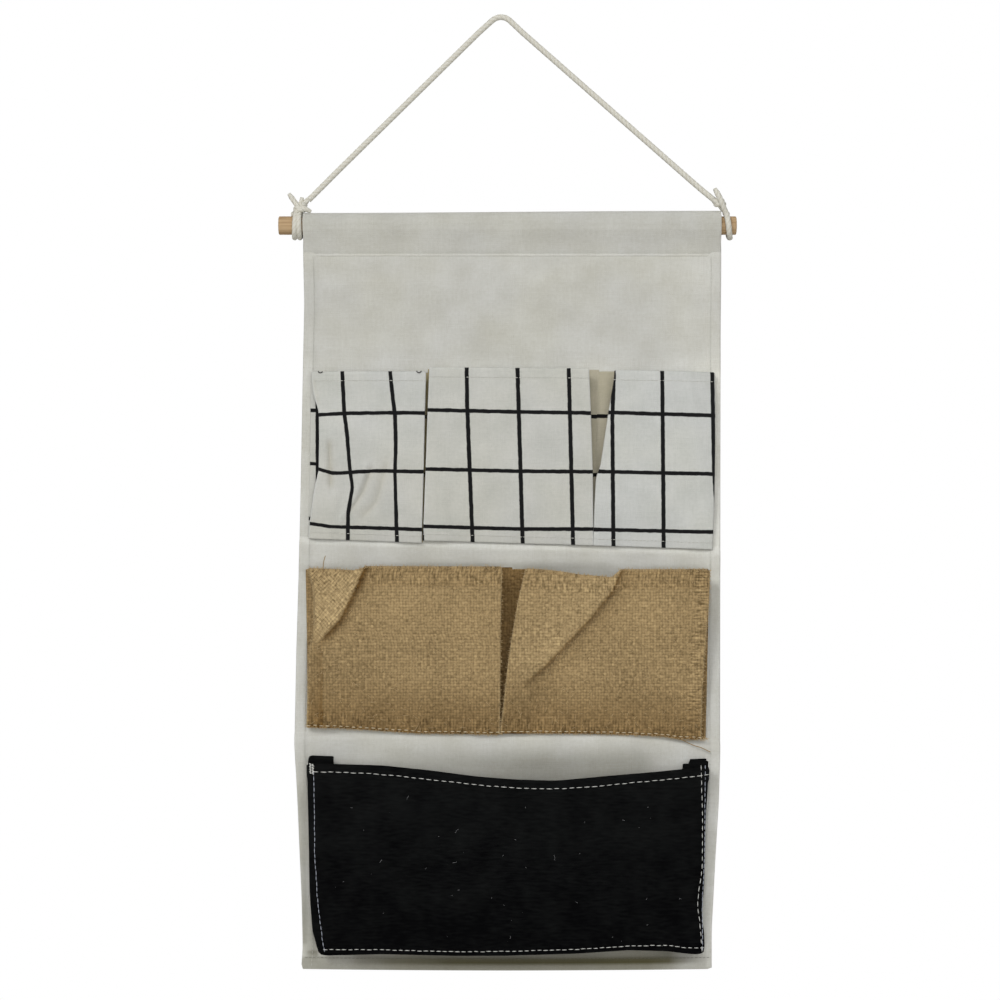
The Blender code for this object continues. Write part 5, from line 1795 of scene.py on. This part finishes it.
    def build(self) -> Piece:
        """Builds the panel's cloth.

        Returns:
            The new object.
        """
        size = self.size
        y, z = self.profile()
        across = np.linspace(0.0, 1.0, size.columns)
        across = across - size.crowding * np.sin(2.0 * math.pi * across)
        left, right = column(read(size.left, z, 0.006)), column(read(size.right, z, 0.006))
        x = mix(left, right, across)
        high = np.broadcast_to(column(z), x.shape)
        back = column(np.arange(len(z)) < self.BACK_ROWS)
        deep = column(y) - np.where(back, self.ripple(x, high), 0.0)
        side = 1.0 - ease((np.minimum(x - left, right - x) - size.hem) / size.hem_step + 0.5)
        foot = 1.0 - ease((high - size.bottom - size.bottom_hem) / size.hem_step + 0.5)
        hem = np.where(back, np.maximum(side, foot), 0.0)
        slack = size.slack * ease((x + 0.165) / 0.34) * ease((high - size.dowel_z) / 0.009)
        points = np.stack((x, deep, high + slack - self.sag(x, high)), axis=-1)
        shell = Shell(points, size.cloth / 2.0 + hem * size.cloth, size.cloth / 2.0)
        run = column(run_along(np.stack((y, z), axis=-1)))
        shell.maps["Cloth"] = np.stack((x, np.broadcast_to(run, x.shape)), axis=-1)
        # Painted shade and light on the panel's front skin; the sleeve's front is the inner skin and takes the
        # sleeve's painted light and shade
        shell.shade = np.where(back, self.shade(x, high), 0.0)
        shell.back_shade = np.where(back, 0.0, read(self.SLEEVE_LIGHT_AND_SHADE, high) / MM)
        return shell.build("back_panel_cloth", Finish.CANVAS.material)

    def dress(self, piece: Piece) -> list[Piece]:
        """Args:
            piece: the cloth.

        Returns:
            The cloth and its stitches.
        """
        size = self.size
        work = ThreadWork("back_panel_stitches", StitchKind(0.0032, 0.0026, 0.00036, Finish.HEM_THREAD), 3)
        # This row's thread is darkened as painted shade, for the stitches inside the painted shadow under the
        # denim pocket
        shadowed = ThreadWork("back_panel_hem_stitches",
                            StitchKind(0.0032, 0.0026, 0.00036, Finish.SHADED_THREAD), 7)
        high = np.linspace(size.bottom + 0.003, size.seam - 0.004, 500)
        face = HEM_FRONT - 0.00018
        for table, inward in ((size.left, 1.0), (size.right, -1.0)):
            x = read(table, high, 0.006) + inward * (size.hem - 0.0014)
            work.add(np.stack((x, face - self.lean(high) - self.ripple(x, high), high), axis=-1))
        sleeve_face = PANEL_FRONT - size.lean - 0.0006
        for where, level, front, first, last in (
                (work, size.seam + 0.0004, sleeve_face, -0.159, 0.176),
                (shadowed, size.bottom + size.bottom_hem - 0.0016, face, -0.159, 0.169)):
            across = np.linspace(first, last, 300)
            where.add(np.stack((across, np.full(300, front), level - self.sag(across, level)), axis=-1))
        rows = [work.build(), shadowed.build(), self.back_stitches()]
        for thing in (piece, *rows):
            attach(thing, "panel")
        Finish.CANVAS.slot
        for row in rows:
            Finish.THREAD.slot
        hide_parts("back_panel")
        return [piece, *rows]

    def back_stitches(self) -> Piece:
        """Builds the stitches that show on the back where the pockets are sewn on.

        Returns:
            The new object.
        """
        work = ThreadWork("back_panel_seams", StitchKind(0.0034, 0.0026, 0.0006, Finish.THREAD), 4)
        for table in self.size.seams:
            x, z = even_path(np.array(table) * MM, ROW_STEP).T
            skin = PANEL_FRONT + self.size.cloth - self.ripple(x, z) + 0.00008
            work.add(np.stack((x, skin, z), axis=-1))
        return work.build()


@dataclass(frozen=True)
class RowPlan:
    """Rows of stitches that make one object: for each row its lift off the cloth and its corners."""

    name: str
    kind: StitchKind
    seed: int
    rows: tuple[tuple[float, Table], ...]


@dataclass(frozen=True)
class DenimSize:
    """Sizes of the denim pocket."""

    body: str = "denim_front"
    cloth: float = 0.0016
    low: float = -0.7597
    high: float = -0.6061
    left: Table = ((-760.7, -145.0), (-757.1, -148.0), (-747.6, -150.2), (-741.4, -152.3), (-709.7, -154.5),
                   (-673.9, -155.0), (-638.1, -155.6), (-600.7, -156.2))
    right: Table = ((-758.9, 163.2), (-754.4, 164.7), (-741.4, 164.2), (-730.8, 162.3), (-720.3, 162.3),
                    (-703.2, 164.2), (-691.8, 164.3), (-651.1, 165.1), (-602.3, 167.9))
    bottom: Table = ((-152.0, -757.3), (-144.0, -760.0), (-96.0, -758.7), (-36.6, -760.0), (3.3, -759.8),
                     (62.6, -758.1), (103.3, -755.4), (134.2, -756.3), (152.1, -758.5), (161.0, -759.0),
                     (166.0, -757.0))
    mouth: Table = ((-156.0, -605.5), (-136.7, -605.6), (-96.0, -606.8), (-60.2, -610.5), (-18.7, -615.9),
                    (11.4, -618.2), (44.7, -619.2), (86.8, -615.3), (122.6, -612.3), (145.6, -610.0),
                    (169.0, -607.5))
    low_depth: float = 0.014
    high_depth: float = 0.021
    belly: float = 0.003
    rim_drop: float = 0.0022
    mouth_hem: float = 0.011
    gusset_low: float = -0.7483
    gusset_high: float = -0.5999
    right_step: float = -0.6025
    reach: float = 0.0188
    notch: float = 0.0035
    notch_x: float = 0.1537
    columns: int = 168
    rows: int = 96
    bend: Triple = (0.0012, 0.004, 0.014)
    flat: tuple[float, float] = (0.340, 0.175)
    gusset_flat: tuple[float, float] = (0.0475, 0.160)
    bottom_flat: tuple[float, float] = (0.316, 0.0215)
    floor_rise: float = 0.0058
    floor_course: Table = ((1.0, 0.0), (1.0, 0.45), (0.97, 0.8), (0.86, 1.0), (0.6, 0.97), (0.3, 1.0),
                           (0.0, 1.08), (0.0, 1.75))
    threads: tuple[RowPlan, ...] = (
        RowPlan("denim_pocket_stitches", StitchKind(0.0061, 0.0048, 0.00052, Finish.THREAD, 0.0002), 5, (
            (0.0006, ((-149.7, -610.3), (-108.2, -611.7), (-81.3, -614.0), (-60.2, -616.5), (-18.7, -621.2),
                      (11.4, -623.7), (47.2, -624.2), (79.7, -622.1), (110.6, -618.9), (146.4, -615.4),
                      (166.3, -613.2))),
            (0.0003, ((163.0, -755.0), (161.9, -739.0), (159.4, -721.1), (159.8, -709.7), (162.9, -691.8),
                      (163.1, -649.5), (161.9, -607.2))))),
        RowPlan("denim_foot_stitches", StitchKind(0.0051, 0.0041, 0.0005, Finish.THREAD, 0.0002), 9, (
            (0.0003, ((-142.5, -755.3), (-100.9, -755.3), (-60.2, -756.5), (-24.4, -757.0), (11.4, -756.4),
                      (62.6, -755.0), (104.7, -752.4), (134.2, -751.7), (152.1, -754.1), (163.1, -754.2))),)),
        RowPlan("denim_side_stitches", StitchKind(0.0044, 0.0042, 0.00056, Finish.FINE_THREAD, 0.0002), 6, (
            (0.0003, ((-143.5, -755.4), (-146.2, -735.7), (-148.6, -715.4), (-149.9, -691.8),
                      (-151.0, -673.9), (-150.8, -645.0), (-151.4, -611.5))),
            (0.0003, ((163.6, -754.4), (163.1, -716.2), (165.0, -683.7), (165.2, -607.2))))),
    )
    lint: Course = (
        (-76, -633, 4.0), (-37, -660, 4.0), (-39, -684, 2.5), (-61, -689, 1.6), (-128, -700, 1.6),
        (43, -682, 4.0), (62, -717, 3.0), (146, -714, 2.5), (63, -677, 2.0), (7, -746, 4.0),
        (-62, -757, 2.5), (-98, -684, 2.5), (-120, -640, 1.5), (100, -650, 1.5), (20, -640, 1.5),
        (118, -735, 1.5))
    fine_lint: int = 36


class DenimPocket(Pocket):
    """The wide bellows pocket: front, side gussets and bottom strip."""

    SIDE_SOFT, FLOOR_SOFT, MOUTH_SOFT = 0.003, 0.004, 0.006
    ROUNDING = 40

    def __init__(self, size: DenimSize) -> None:
        """Keeps the sizes."""
        self.size, self.low, self.high = size, size.low, size.high

    def sides(self, z: Array) -> tuple[Array, Array]:
        """Gives the places of the left and right edges at each height."""
        return read(self.size.left, z, self.SIDE_SOFT), read(self.size.right, z, self.SIDE_SOFT)

    def depth(self, x: Array, z: Array) -> Array:
        """Gives how far the middle of the front stands in front of the panel's hem.

        Args:
            x, z: places across and up the front.

        Returns:
            Depths in metres.
        """
        size = self.size
        low, high = read(size.bottom, x, self.FLOOR_SOFT), read(size.mouth, x, self.MOUTH_SOFT)
        share = np.clip((z - low) / (high - low), 0.0, 1.0)
        left, right = self.sides(z)
        across = np.clip((x - left) / (right - left), 0.0, 1.0)
        belly = np.sin(math.pi * across) * np.sin(math.pi * np.minimum(share + 0.15, 1.0))
        depth = mix(size.low_depth, size.high_depth, share) + size.belly * belly
        near = np.minimum(np.minimum(x - left, right - x), z - low)
        depth = depth - size.rim_drop * (1.0 - ease(near / 0.006))
        inside = ease(share * 4.0) * ease(across * 8.0) * ease(8.0 - across * 8.0)
        return depth + Ripple(0.00045, 0.07, 41).at(x, z) * inside

    def front(self) -> Piece:
        """Builds the front with its mouth hem.

        Returns:
            The new object.
        """
        size = self.size
        share = column(np.linspace(0.0, 1.0, size.rows))
        across = np.linspace(0.0, 1.0, size.columns)
        z = mix(self.low, self.high, share) + 0.0 * across
        x = mix(*self.sides(z), across)
        z = mix(read(size.bottom, x, self.SIDE_SOFT), read(size.mouth, x, self.MOUTH_SOFT), share)
        x = mix(*self.sides(z), across)
        points = np.stack((x, HEM_FRONT - self.depth(x, z), z), axis=-1)
        hem = ease((z - (read(size.mouth, x, self.MOUTH_SOFT) - size.mouth_hem)) / HEM_STEP + 0.5)
        shell = Shell(points, size.cloth / 2.0 + hem * 0.0003, size.cloth / 2.0 + hem * size.cloth * 0.6)
        shell.maps["Cloth"] = np.stack((x, z), axis=-1)
        return shell.build("denim_pocket_front_cloth", Finish.DENIM.material)

    def gusset(self, left: bool) -> Piece:
        """Builds one side gusset: rear leaf, fold and front leaf in one cloth.

        Args:
            left: whether it is the left one.

        Returns:
            The new object.
        """
        size, low = self.size, self.size.gusset_low
        outward, top = (-1.0, size.gusset_high) if left else (1.0, size.right_step)
        z = np.linspace(low, top, 60)
        fold = self.sides(z)[0 if left else 1]
        rear = TOUCH + size.cloth / 2.0
        front = column(self.depth(fold, z) - size.cloth - TOUCH)
        middle, tuck = (rear + front) / 2.0, (size.cloth + TOUCH) / 2.0
        edge = column(fold - outward * 0.0006)
        inside = edge - outward * size.reach + outward * tuck
        leaf = np.linspace(0.0, 1.0, 12)
        arc = np.linspace(0.0, math.pi, 8)[1:-1]
        parts = (
            (mix(edge, inside, leaf), mix(rear, middle - tuck, leaf)),
            (inside - outward * tuck * np.sin(arc), middle - tuck * np.cos(arc)),
            (mix(inside, edge, leaf), mix(middle + tuck, front, leaf)),
        )
        across = np.concatenate([x for x, _ in parts], 1)
        deep = np.concatenate([d for _, d in parts], 1)
        high = np.broadcast_to(column(z), across.shape)
        if not left:
            notch = size.notch / (top - low) * ease((size.notch_x - across) / 0.0008)
            high = low + (high - low) * (1.0 - notch)
            across, deep, high = across[:, ::-1], deep[:, ::-1], high[:, ::-1]
        points = np.stack((across, HEM_FRONT - deep, high), axis=-1)
        shell = Shell(points, size.cloth / 2.0, size.cloth / 2.0)
        shell.maps["Cloth"] = np.stack((run_along(points[..., :2]), high), axis=-1)
        return shell.build(f"denim_gusset_{'left' if left else 'right'}_cloth", Finish.DENIM.material)

    def bottom(self) -> Piece:
        """Builds the strip that closes the pocket below.

        Returns:
            The new object.
        """
        size = self.size
        x = np.linspace(-0.1480, 0.1610, 120)
        floor = read(size.bottom, x, self.FLOOR_SOFT) + 0.0007
        seat, front = TOUCH + size.cloth / 2.0, self.depth(x, floor) - size.cloth - TOUCH
        shares = np.array(size.floor_course)
        fine = np.linspace(0, len(shares) - 1, 30)
        out, up = (column(np.interp(fine, np.arange(len(shares)), part)) for part in shares.T)
        depth, height = mix(seat, front, out), floor + size.floor_rise * up
        points = np.stack((np.broadcast_to(x, depth.shape), HEM_FRONT - depth, height), axis=-1)
        shell = Shell(points, size.cloth / 2.0, size.cloth / 2.0)
        shell.maps["Cloth"] = np.stack((points[..., 0], points[..., 1] + points[..., 2]), axis=-1)
        return shell.build("denim_gusset_bottom_cloth", Finish.DENIM.material)

    def stitches(self, plan: RowPlan) -> Piece:
        """Builds one object of contrast stitching.

        Args:
            plan: its rows.

        Returns:
            The new object.
        """
        work = ThreadWork(plan.name, plan.kind, plan.seed)
        for lift, table in plan.rows:
            work.add(self.row(table, lift, self.ROUNDING))
        return work.build()

    def bartack(self) -> RowPlan:
        """Plans the dense tack of thread at the left end of the mouth.

        Returns:
            Its rows.
        """
        rows = []
        for place, high in enumerate(np.linspace(-604.2, -611.6, 8)):
            reach = 0.5 if place % 2 else 0.0
            rows.append((0.0004, ((-154.4 + reach, high), (-152.4 + reach, high - 0.5))))
        kind = StitchKind(0.0018, 0.0020, 0.0008, Finish.THREAD, 0.0001)
        return RowPlan("denim_bartack", kind, 8, tuple(rows))

    def lint(self) -> Piece:
        """Lays a little pale lint over the denim.

        Returns:
            The new object.
        """
        work = Fibres("denim_lint", 0.00022, Finish.LINT, 61)
        for x, z, length in self.size.lint:
            turn = work.random.uniform(0.0, math.pi)
            root = self.front_point(x * MM, z * MM, 0.0001)
            work.scatter(root, (math.cos(turn), -0.15, math.sin(turn)), length * MM, 0.1, 0.4)
        for _ in range(self.size.fine_lint):
            x, z = work.random.uniform(-0.148, 0.160), work.random.uniform(-0.750, -0.630)
            turn = work.random.uniform(0.0, math.pi)
            root = self.front_point(x, z, -0.00012)
            work.scatter(root, (math.cos(turn), -0.05, math.sin(turn)), 0.0014, 0.1, 0.4)
        return work.build()

    def dress(self) -> list[Piece]:
        """Returns:
            The pieces.
        """
        size = self.size
        front, gussets, bottom = self.front(), [self.gusset(True), self.gusset(False)], self.bottom()
        rows = [self.stitches(plan) for plan in (*size.threads, self.bartack())] + [self.lint()]
        cloths = [front, *gussets, bottom]
        for piece in (*cloths, *rows):
            self.bend().apply(piece)
        for piece in cloths:
            Finish.DENIM.slot
        for row in rows:
            Finish.THREAD.slot
        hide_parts("denim_pocket_front")
        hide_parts("denim_gusset_left", "denim_gusset_left_front")
        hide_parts("denim_gusset_right", "denim_gusset_right_front")
        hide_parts("denim_gusset_bottom")
        for gusset in gussets:
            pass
        return [*cloths, *rows]


class RopeTube:
    """A twisted rope of three strands swept along paths."""

    SIDES = 24
    STRANDS = 3
    END_REACH = 0.004

    def __init__(self, name: str, diameter: float, lay: float) -> None:
        """Starts an empty rope."""
        self.name, self.radius, self.lay = name, diameter / 2.0, lay
        self.vertices: list[Array] = []
        self.faces: list[Array] = []
        self.maps: list[Array] = []
        self.count = 0

    @staticmethod
    def sides_of(path: Array) -> tuple[Array, Array]:
        """Finds two directions square to a path, turning with it as little as they can.

        Args:
            path: points by 3.

        Returns:
            Both directions at every point.
        """
        tangent = np.gradient(path, axis=0)
        tangent /= np.linalg.norm(tangent, axis=1, keepdims=True)
        side = np.zeros_like(path)
        guess = np.array((0.0, 1.0, 0.0)) if abs(tangent[0][1]) < 0.9 else np.array((1.0, 0.0, 0.0))
        for place, way in enumerate(tangent):
            guess = guess - way * (guess @ way)
            guess = guess / np.linalg.norm(guess)
            side[place] = guess
        return side, np.cross(tangent, side)

    def add(self, path: Array, taper: tuple[float, float] = (1.0, 1.0)) -> None:
        """Sweeps one length of rope.

        Args:
            path: points by 3, evenly spaced.
            taper: share of the full radius at the first and last point.
        """
        side, other = self.sides_of(path)
        run = run_along(path)
        angle = np.linspace(0.0, 2.0 * math.pi, self.SIDES, endpoint=False)[None, :]
        turn = self.STRANDS / 2.0 * (angle - 2.0 * math.pi * column(run) / self.lay)
        round_share = 0.96 + 0.07 * np.abs(np.cos(turn)) ** 0.8
        ends = (0.0, self.END_REACH, run[-1] - self.END_REACH, run[-1])
        radius = self.radius * round_share * column(np.interp(run, ends, (taper[0], 1.0, 1.0, taper[1])))
        around = side[:, None] * np.cos(angle)[..., None] + other[:, None] * np.sin(angle)[..., None]
        ring = path[:, None] + radius[..., None] * around
        rows, columns = ring.shape[:2]
        index = self.count + np.arange(rows * columns).reshape(rows, columns)
        after = np.roll(index, -1, axis=1)
        quads = np.stack((index[:-1], after[:-1], after[1:], index[1:]), axis=-1).reshape(-1, 4)
        caps = [np.full(columns, self.count + rows * columns + place) for place in (0, 1)]
        first = np.stack((after[0], index[0], caps[0]), axis=-1)
        last = np.stack((index[-1], after[-1], caps[1]), axis=-1)
        self.vertices += [ring.reshape(-1, 3), path[[0, -1]]]
        self.faces += [*quads.tolist(), *first.tolist(), *last.tolist()]
        strand = np.stack((turn / math.pi, np.broadcast_to(column(run), turn.shape)), axis=-1)
        self.maps += [strand.reshape(-1, 2), strand[[0, -1], 0]]
        self.count += rows * columns + 2

    def build(self, finish: Finish) -> Piece:
        """Turns the swept lengths into one mesh object.

        Args:
            finish: the rope's finish.

        Returns:
            The new object.
        """
        mesh = bpy.data.meshes.new(self.name)
        mesh.from_pydata(np.concatenate(self.vertices).tolist(), [], self.faces)
        mesh.shade_smooth()
        corners = np.array([corner for face in self.faces for corner in face])
        layer = mesh.uv_layers.new(name="Strand")
        layer.data.foreach_set("uv", np.concatenate(self.maps)[corners].astype(np.float32).ravel())
        mesh.materials.append(finish.material)
        return place_mesh(self.name, mesh)


@dataclass(frozen=True)
class CordSize:
    """Sizes and course of the hanging cord."""

    diameter: float = 0.0046
    lay: float = 0.013
    dowel_z: float = -0.1676
    loop: float = 0.0098
    route: Table = ((-156.50, -146.90), (-152.30, -142.85), (-130.00, -120.55), (-100.00, -91.10),
                    (-70.00, -61.66), (-40.00, -32.20), (-18.00, -10.60), (-7.39, -1.02), (-5.22, 0.62),
                    (-2.70, 1.65), (0.0, 2.00), (2.51, 1.70), (4.88, 0.80), (6.97, -0.63), (18.00, -11.03),
                    (40.00, -30.38), (70.00, -56.75), (100.00, -83.13), (130.00, -109.51), (153.00, -129.73),
                    (162.30, -137.80), (168.60, -142.95), (172.20, -145.85))


@dataclass(frozen=True)
class KnotSize:
    """Course of one knot: its turns round the dowel, its coil and its tails, in metres."""

    name: str
    node: str
    thickness: float
    wraps: tuple[tuple[Triple, float, float], ...]
    coil: tuple[Triple, float, float, float, float]
    tails: tuple[Course, ...]


LEFT_KNOT = KnotSize(
    "left_cord_knot_rope", "left_cord_knot", 0.92,
    (((-0.1690, -0.1678, -0.1664), 0.94, 0.28), ((-0.1628, -0.1636, -0.1640), 0.94, 0.28)),
    ((-0.1632, -0.0010, -0.1538), 0.0036, 2.2, 0.0044, 0.1),
    (((-0.1640, -0.0030, -0.1540), (-0.1680, -0.0020, -0.1480), (-0.1724, -0.0018, -0.1419)),
     ((-0.1632, -0.0020, -0.1530), (-0.1616, -0.0010, -0.1450)),
     ((-0.1625, 0.0, -0.1530), (-0.1565, -0.0015, -0.1460), (-0.1560, 0.0, -0.1455)),
     ((-0.1625, -0.0040, -0.1535), (-0.1590, -0.0048, -0.1545), (-0.1545, -0.0030, -0.1566))),
)
RIGHT_KNOT = KnotSize(
    "right_cord_knot_rope", "right_cord_knot", 1.0,
    (((0.1838, 0.1862, 0.1824), 0.96, 0.27),),
    ((0.1772, -0.0012, -0.1490), 0.0026, 1.6, 0.0040, -0.5),
    (((0.1824, -0.0030, -0.1572), (0.1790, -0.0064, -0.1495), (0.1765, -0.0070, -0.1440),
      (0.1734, -0.0060, -0.1382)),
     ((0.1716, 0.0, -0.1454), (0.1770, 0.0, -0.1495)),
     ((0.1768, 0.0, -0.1490), (0.1815, -0.0010, -0.1556), (0.1838, 0.0, -0.1576))),
)


class Cord:
    """The hanging cord with its two knots."""

    STEP = 0.0006
    TAIL_TAPER = (1.0, 0.7)

    def __init__(self, size: CordSize) -> None:
        """Keeps the sizes."""
        self.size = size

    def build(self) -> list[Piece]:
        """Returns:
            The rope and the knots.
        """
        size = self.size
        path = even_path(np.array([(x, 0.0, z) for x, z in size.route]) * MM, self.STEP)
        tube = RopeTube("hanging_cord_rope", size.diameter, size.lay)
        tube.add(path)
        rope = tube.build(Finish.CORD)
        knots = [self.knot(knot) for knot in (LEFT_KNOT, RIGHT_KNOT)]
        for piece, node in zip((rope, *knots), ("hanging_cord", LEFT_KNOT.node, RIGHT_KNOT.node)):
            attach(piece, "cord")
            Finish.CORD.slot
            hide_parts(node)
        length = float(run_along(path)[-1])
        return [rope, *knots]

    def wrap(self, places: Triple, turns: float, phase: float) -> Array:
        """Gives a path that winds round the dowel.

        Args:
            places: where it is across at its start, halfway and at its end.
            turns: number of turns.
            phase: angle of its start, in turns from the front.

        Returns:
            Points by 3.
        """
        share = np.linspace(0.0, 1.0, int(60 * turns))
        angle = 2.0 * math.pi * (phase + share * turns)
        x = np.interp(share, (0.0, 0.5, 1.0), places)
        y, z = -self.size.loop * np.cos(angle), self.size.dowel_z + self.size.loop * np.sin(angle)
        return np.stack((x, y, z), axis=-1)

    @staticmethod
    def coil(centre: Triple, radius: float, turns: float, rise: float, lean: float) -> Array:
        """Gives the tight coil of a knot round a leaning upright line.

        Args:
            centre: its middle.
            radius: its radius.
            turns: number of turns.
            rise: its height.
            lean: how far its line leans across, as a share of its height.

        Returns:
            Points by 3.
        """
        share = np.linspace(0.0, 1.0, int(40 * turns))
        angle = 2.0 * math.pi * share * turns
        high = rise * (share - 0.5)
        x = centre[0] + radius * np.cos(angle) + lean * high
        y = centre[1] - radius * np.sin(angle)
        return np.stack((x, y, centre[2] + high + 0.25 * radius * np.cos(angle)), axis=-1)

    def knot(self, knot: KnotSize) -> Piece:
        """Builds the loops, coil and tails of one knot.

        Args:
            knot: its course.

        Returns:
            The new object.
        """
        tube = RopeTube(knot.name, self.size.diameter * knot.thickness, self.size.lay)
        for wrap in knot.wraps:
            tube.add(self.wrap(*wrap))
        tube.add(self.coil(*knot.coil))
        for tail in knot.tails:
            tube.add(even_path(np.array(tail), self.STEP), self.TAIL_TAPER)
        return tube.build(Finish.CORD)


@dataclass(frozen=True)
class Studio:
    """Camera, lamps, white surround and floor."""

    distance: float = 2.2
    half_view: float = 0.4067
    sensor: float = 36.0
    middle: tuple[float, float] = (-0.0008, -0.3908)
    surround: tuple[float, float] = (1.0, 0.31)
    floor_reach: float = 2.2
    floor_z: float = -1.3
    lamps: tuple[tuple[str, float, float, float, float], ...] = (
        ("key", 34.0, -32.0, 1.12, 14.0), ("fill", 9.0, 6.0, 1.30, 45.0), ("back", 24.0, 152.0, 0.75, 50.0))

    def build(self) -> None:
        """Sets up everything round the object."""
        self.camera()
        self.world()
        self.floor()
        for lamp in self.lamps:
            self.lamp(*lamp)
        bpy.context.scene.view_settings.view_transform = "Standard"

    def camera(self) -> None:
        """Places the camera level with the middle of the object."""
        data = bpy.data.cameras.new("camera")
        data.sensor_width = self.sensor
        data.lens = self.sensor / 2.0 * self.distance / self.half_view
        camera = bpy.data.objects.new("camera", data)
        camera.location = (self.middle[0], -self.distance, self.middle[1])
        camera.rotation_euler = (math.radians(90.0), 0.0, 0.0)
        bpy.context.scene.collection.objects.link(camera)
        bpy.context.scene.camera = camera

    def world(self) -> None:
        """Makes the surround white to the camera and softer as a light."""
        world = bpy.data.worlds.new("surround")
        world.use_nodes = True
        world.node_tree.nodes.clear()
        graph = Graph(world.node_tree)
        rays = graph.add("ShaderNodeLightPath").outputs
        mirrored = graph.math("MAXIMUM", rays["Is Glossy Ray"], rays["Is Transmission Ray"])
        seen = graph.math("MAXIMUM", rays["Is Camera Ray"], mirrored)
        bright, dim = self.surround
        strength = graph.math("ADD", graph.math("MULTIPLY", seen, bright - dim), dim)
        light = graph.add("ShaderNodeBackground", {"Color": (1.0, 1.0, 1.0, 1.0), "Strength": strength})
        graph.add("ShaderNodeOutputWorld", {0: light.outputs[0]})
        bpy.context.scene.world = world

    def floor(self) -> None:
        """Lays a pale floor far below, white to the camera but for the shadow on it."""
        mesh = bpy.data.meshes.new("floor")
        corners = [(x * self.floor_reach, y * self.floor_reach, self.floor_z)
                   for x, y in ((-1, -1), (1, -1), (1, 1), (-1, 1))]
        mesh.from_pydata(corners, [], [(0, 1, 2, 3)])
        material, graph = blank_material("pale_floor")
        rays = graph.add("ShaderNodeLightPath").outputs
        pale = graph.add("ShaderNodeBsdfDiffuse", {"Color": srgb(226, 224, 219)})
        white = graph.add("ShaderNodeEmission", {"Color": (1.0, 1.0, 1.0, 1.0), "Strength": 1.06})
        share = graph.math("MULTIPLY", rays["Is Camera Ray"], 0.92)
        both = graph.add("ShaderNodeMixShader", {0: share, 1: pale.outputs[0], 2: white.outputs[0]})
        graph.add("ShaderNodeOutputMaterial", {0: both.outputs[0]})
        mesh.materials.append(material)
        place_mesh("floor", mesh)

    def lamp(self, name: str, rise: float, turn: float, power: float, spread: float) -> None:
        """Adds one soft distant lamp.

        Args:
            name: the lamp's name.
            rise: how high it stands over level, in degrees.
            turn: how far it stands to the right of the camera, in degrees.
            power: its strength.
            spread: how wide it looks, in degrees.
        """
        data = bpy.data.lights.new(name, "SUN")
        data.energy = power
        data.angle = math.radians(spread)
        lamp = bpy.data.objects.new(name, data)
        high, side = math.radians(rise), math.radians(turn)
        way = Vector((math.sin(side) * math.cos(high), -math.cos(side) * math.cos(high), math.sin(high)))
        lamp.rotation_euler = (-way).to_track_quat("-Z", "Y").to_euler()
        bpy.context.scene.collection.objects.link(lamp)


def finish_dowel() -> list[Piece]:
    """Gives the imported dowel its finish.

    Returns:
        The dowel alone.
    """
    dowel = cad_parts["dowel"]
    dowel.data.materials.clear()
    dowel.data.materials.append(Finish.WOOD.material)
    Finish.WOOD.slot
    return [dowel]


def report(pieces: list[Piece]) -> None:
    """Logs the name and the number of faces of each piece."""
    for piece in pieces:
        LOG.info("%s: %d faces", piece.name, len(piece.data.polygons))


def main() -> None:
    """Builds the whole picture and reports each piece."""
    logging.basicConfig(level=logging.INFO, format="%(message)s")
    Studio().build()
    report(Cord(CordSize()).build())
    report(finish_dowel())
    panel = Panel(PanelSize())
    report(panel.dress(panel.build()))
    for seed, size in enumerate((GRID_LEFT, GRID_CENTRE, GRID_RIGHT, JUTE_LEFT, JUTE_RIGHT)):
        pocket = PleatPocket(size)
        report(pocket.dress(pocket.build(), seed))
    report(DenimPocket(DenimSize()).dress())


if __name__ == "__main__":
    main()
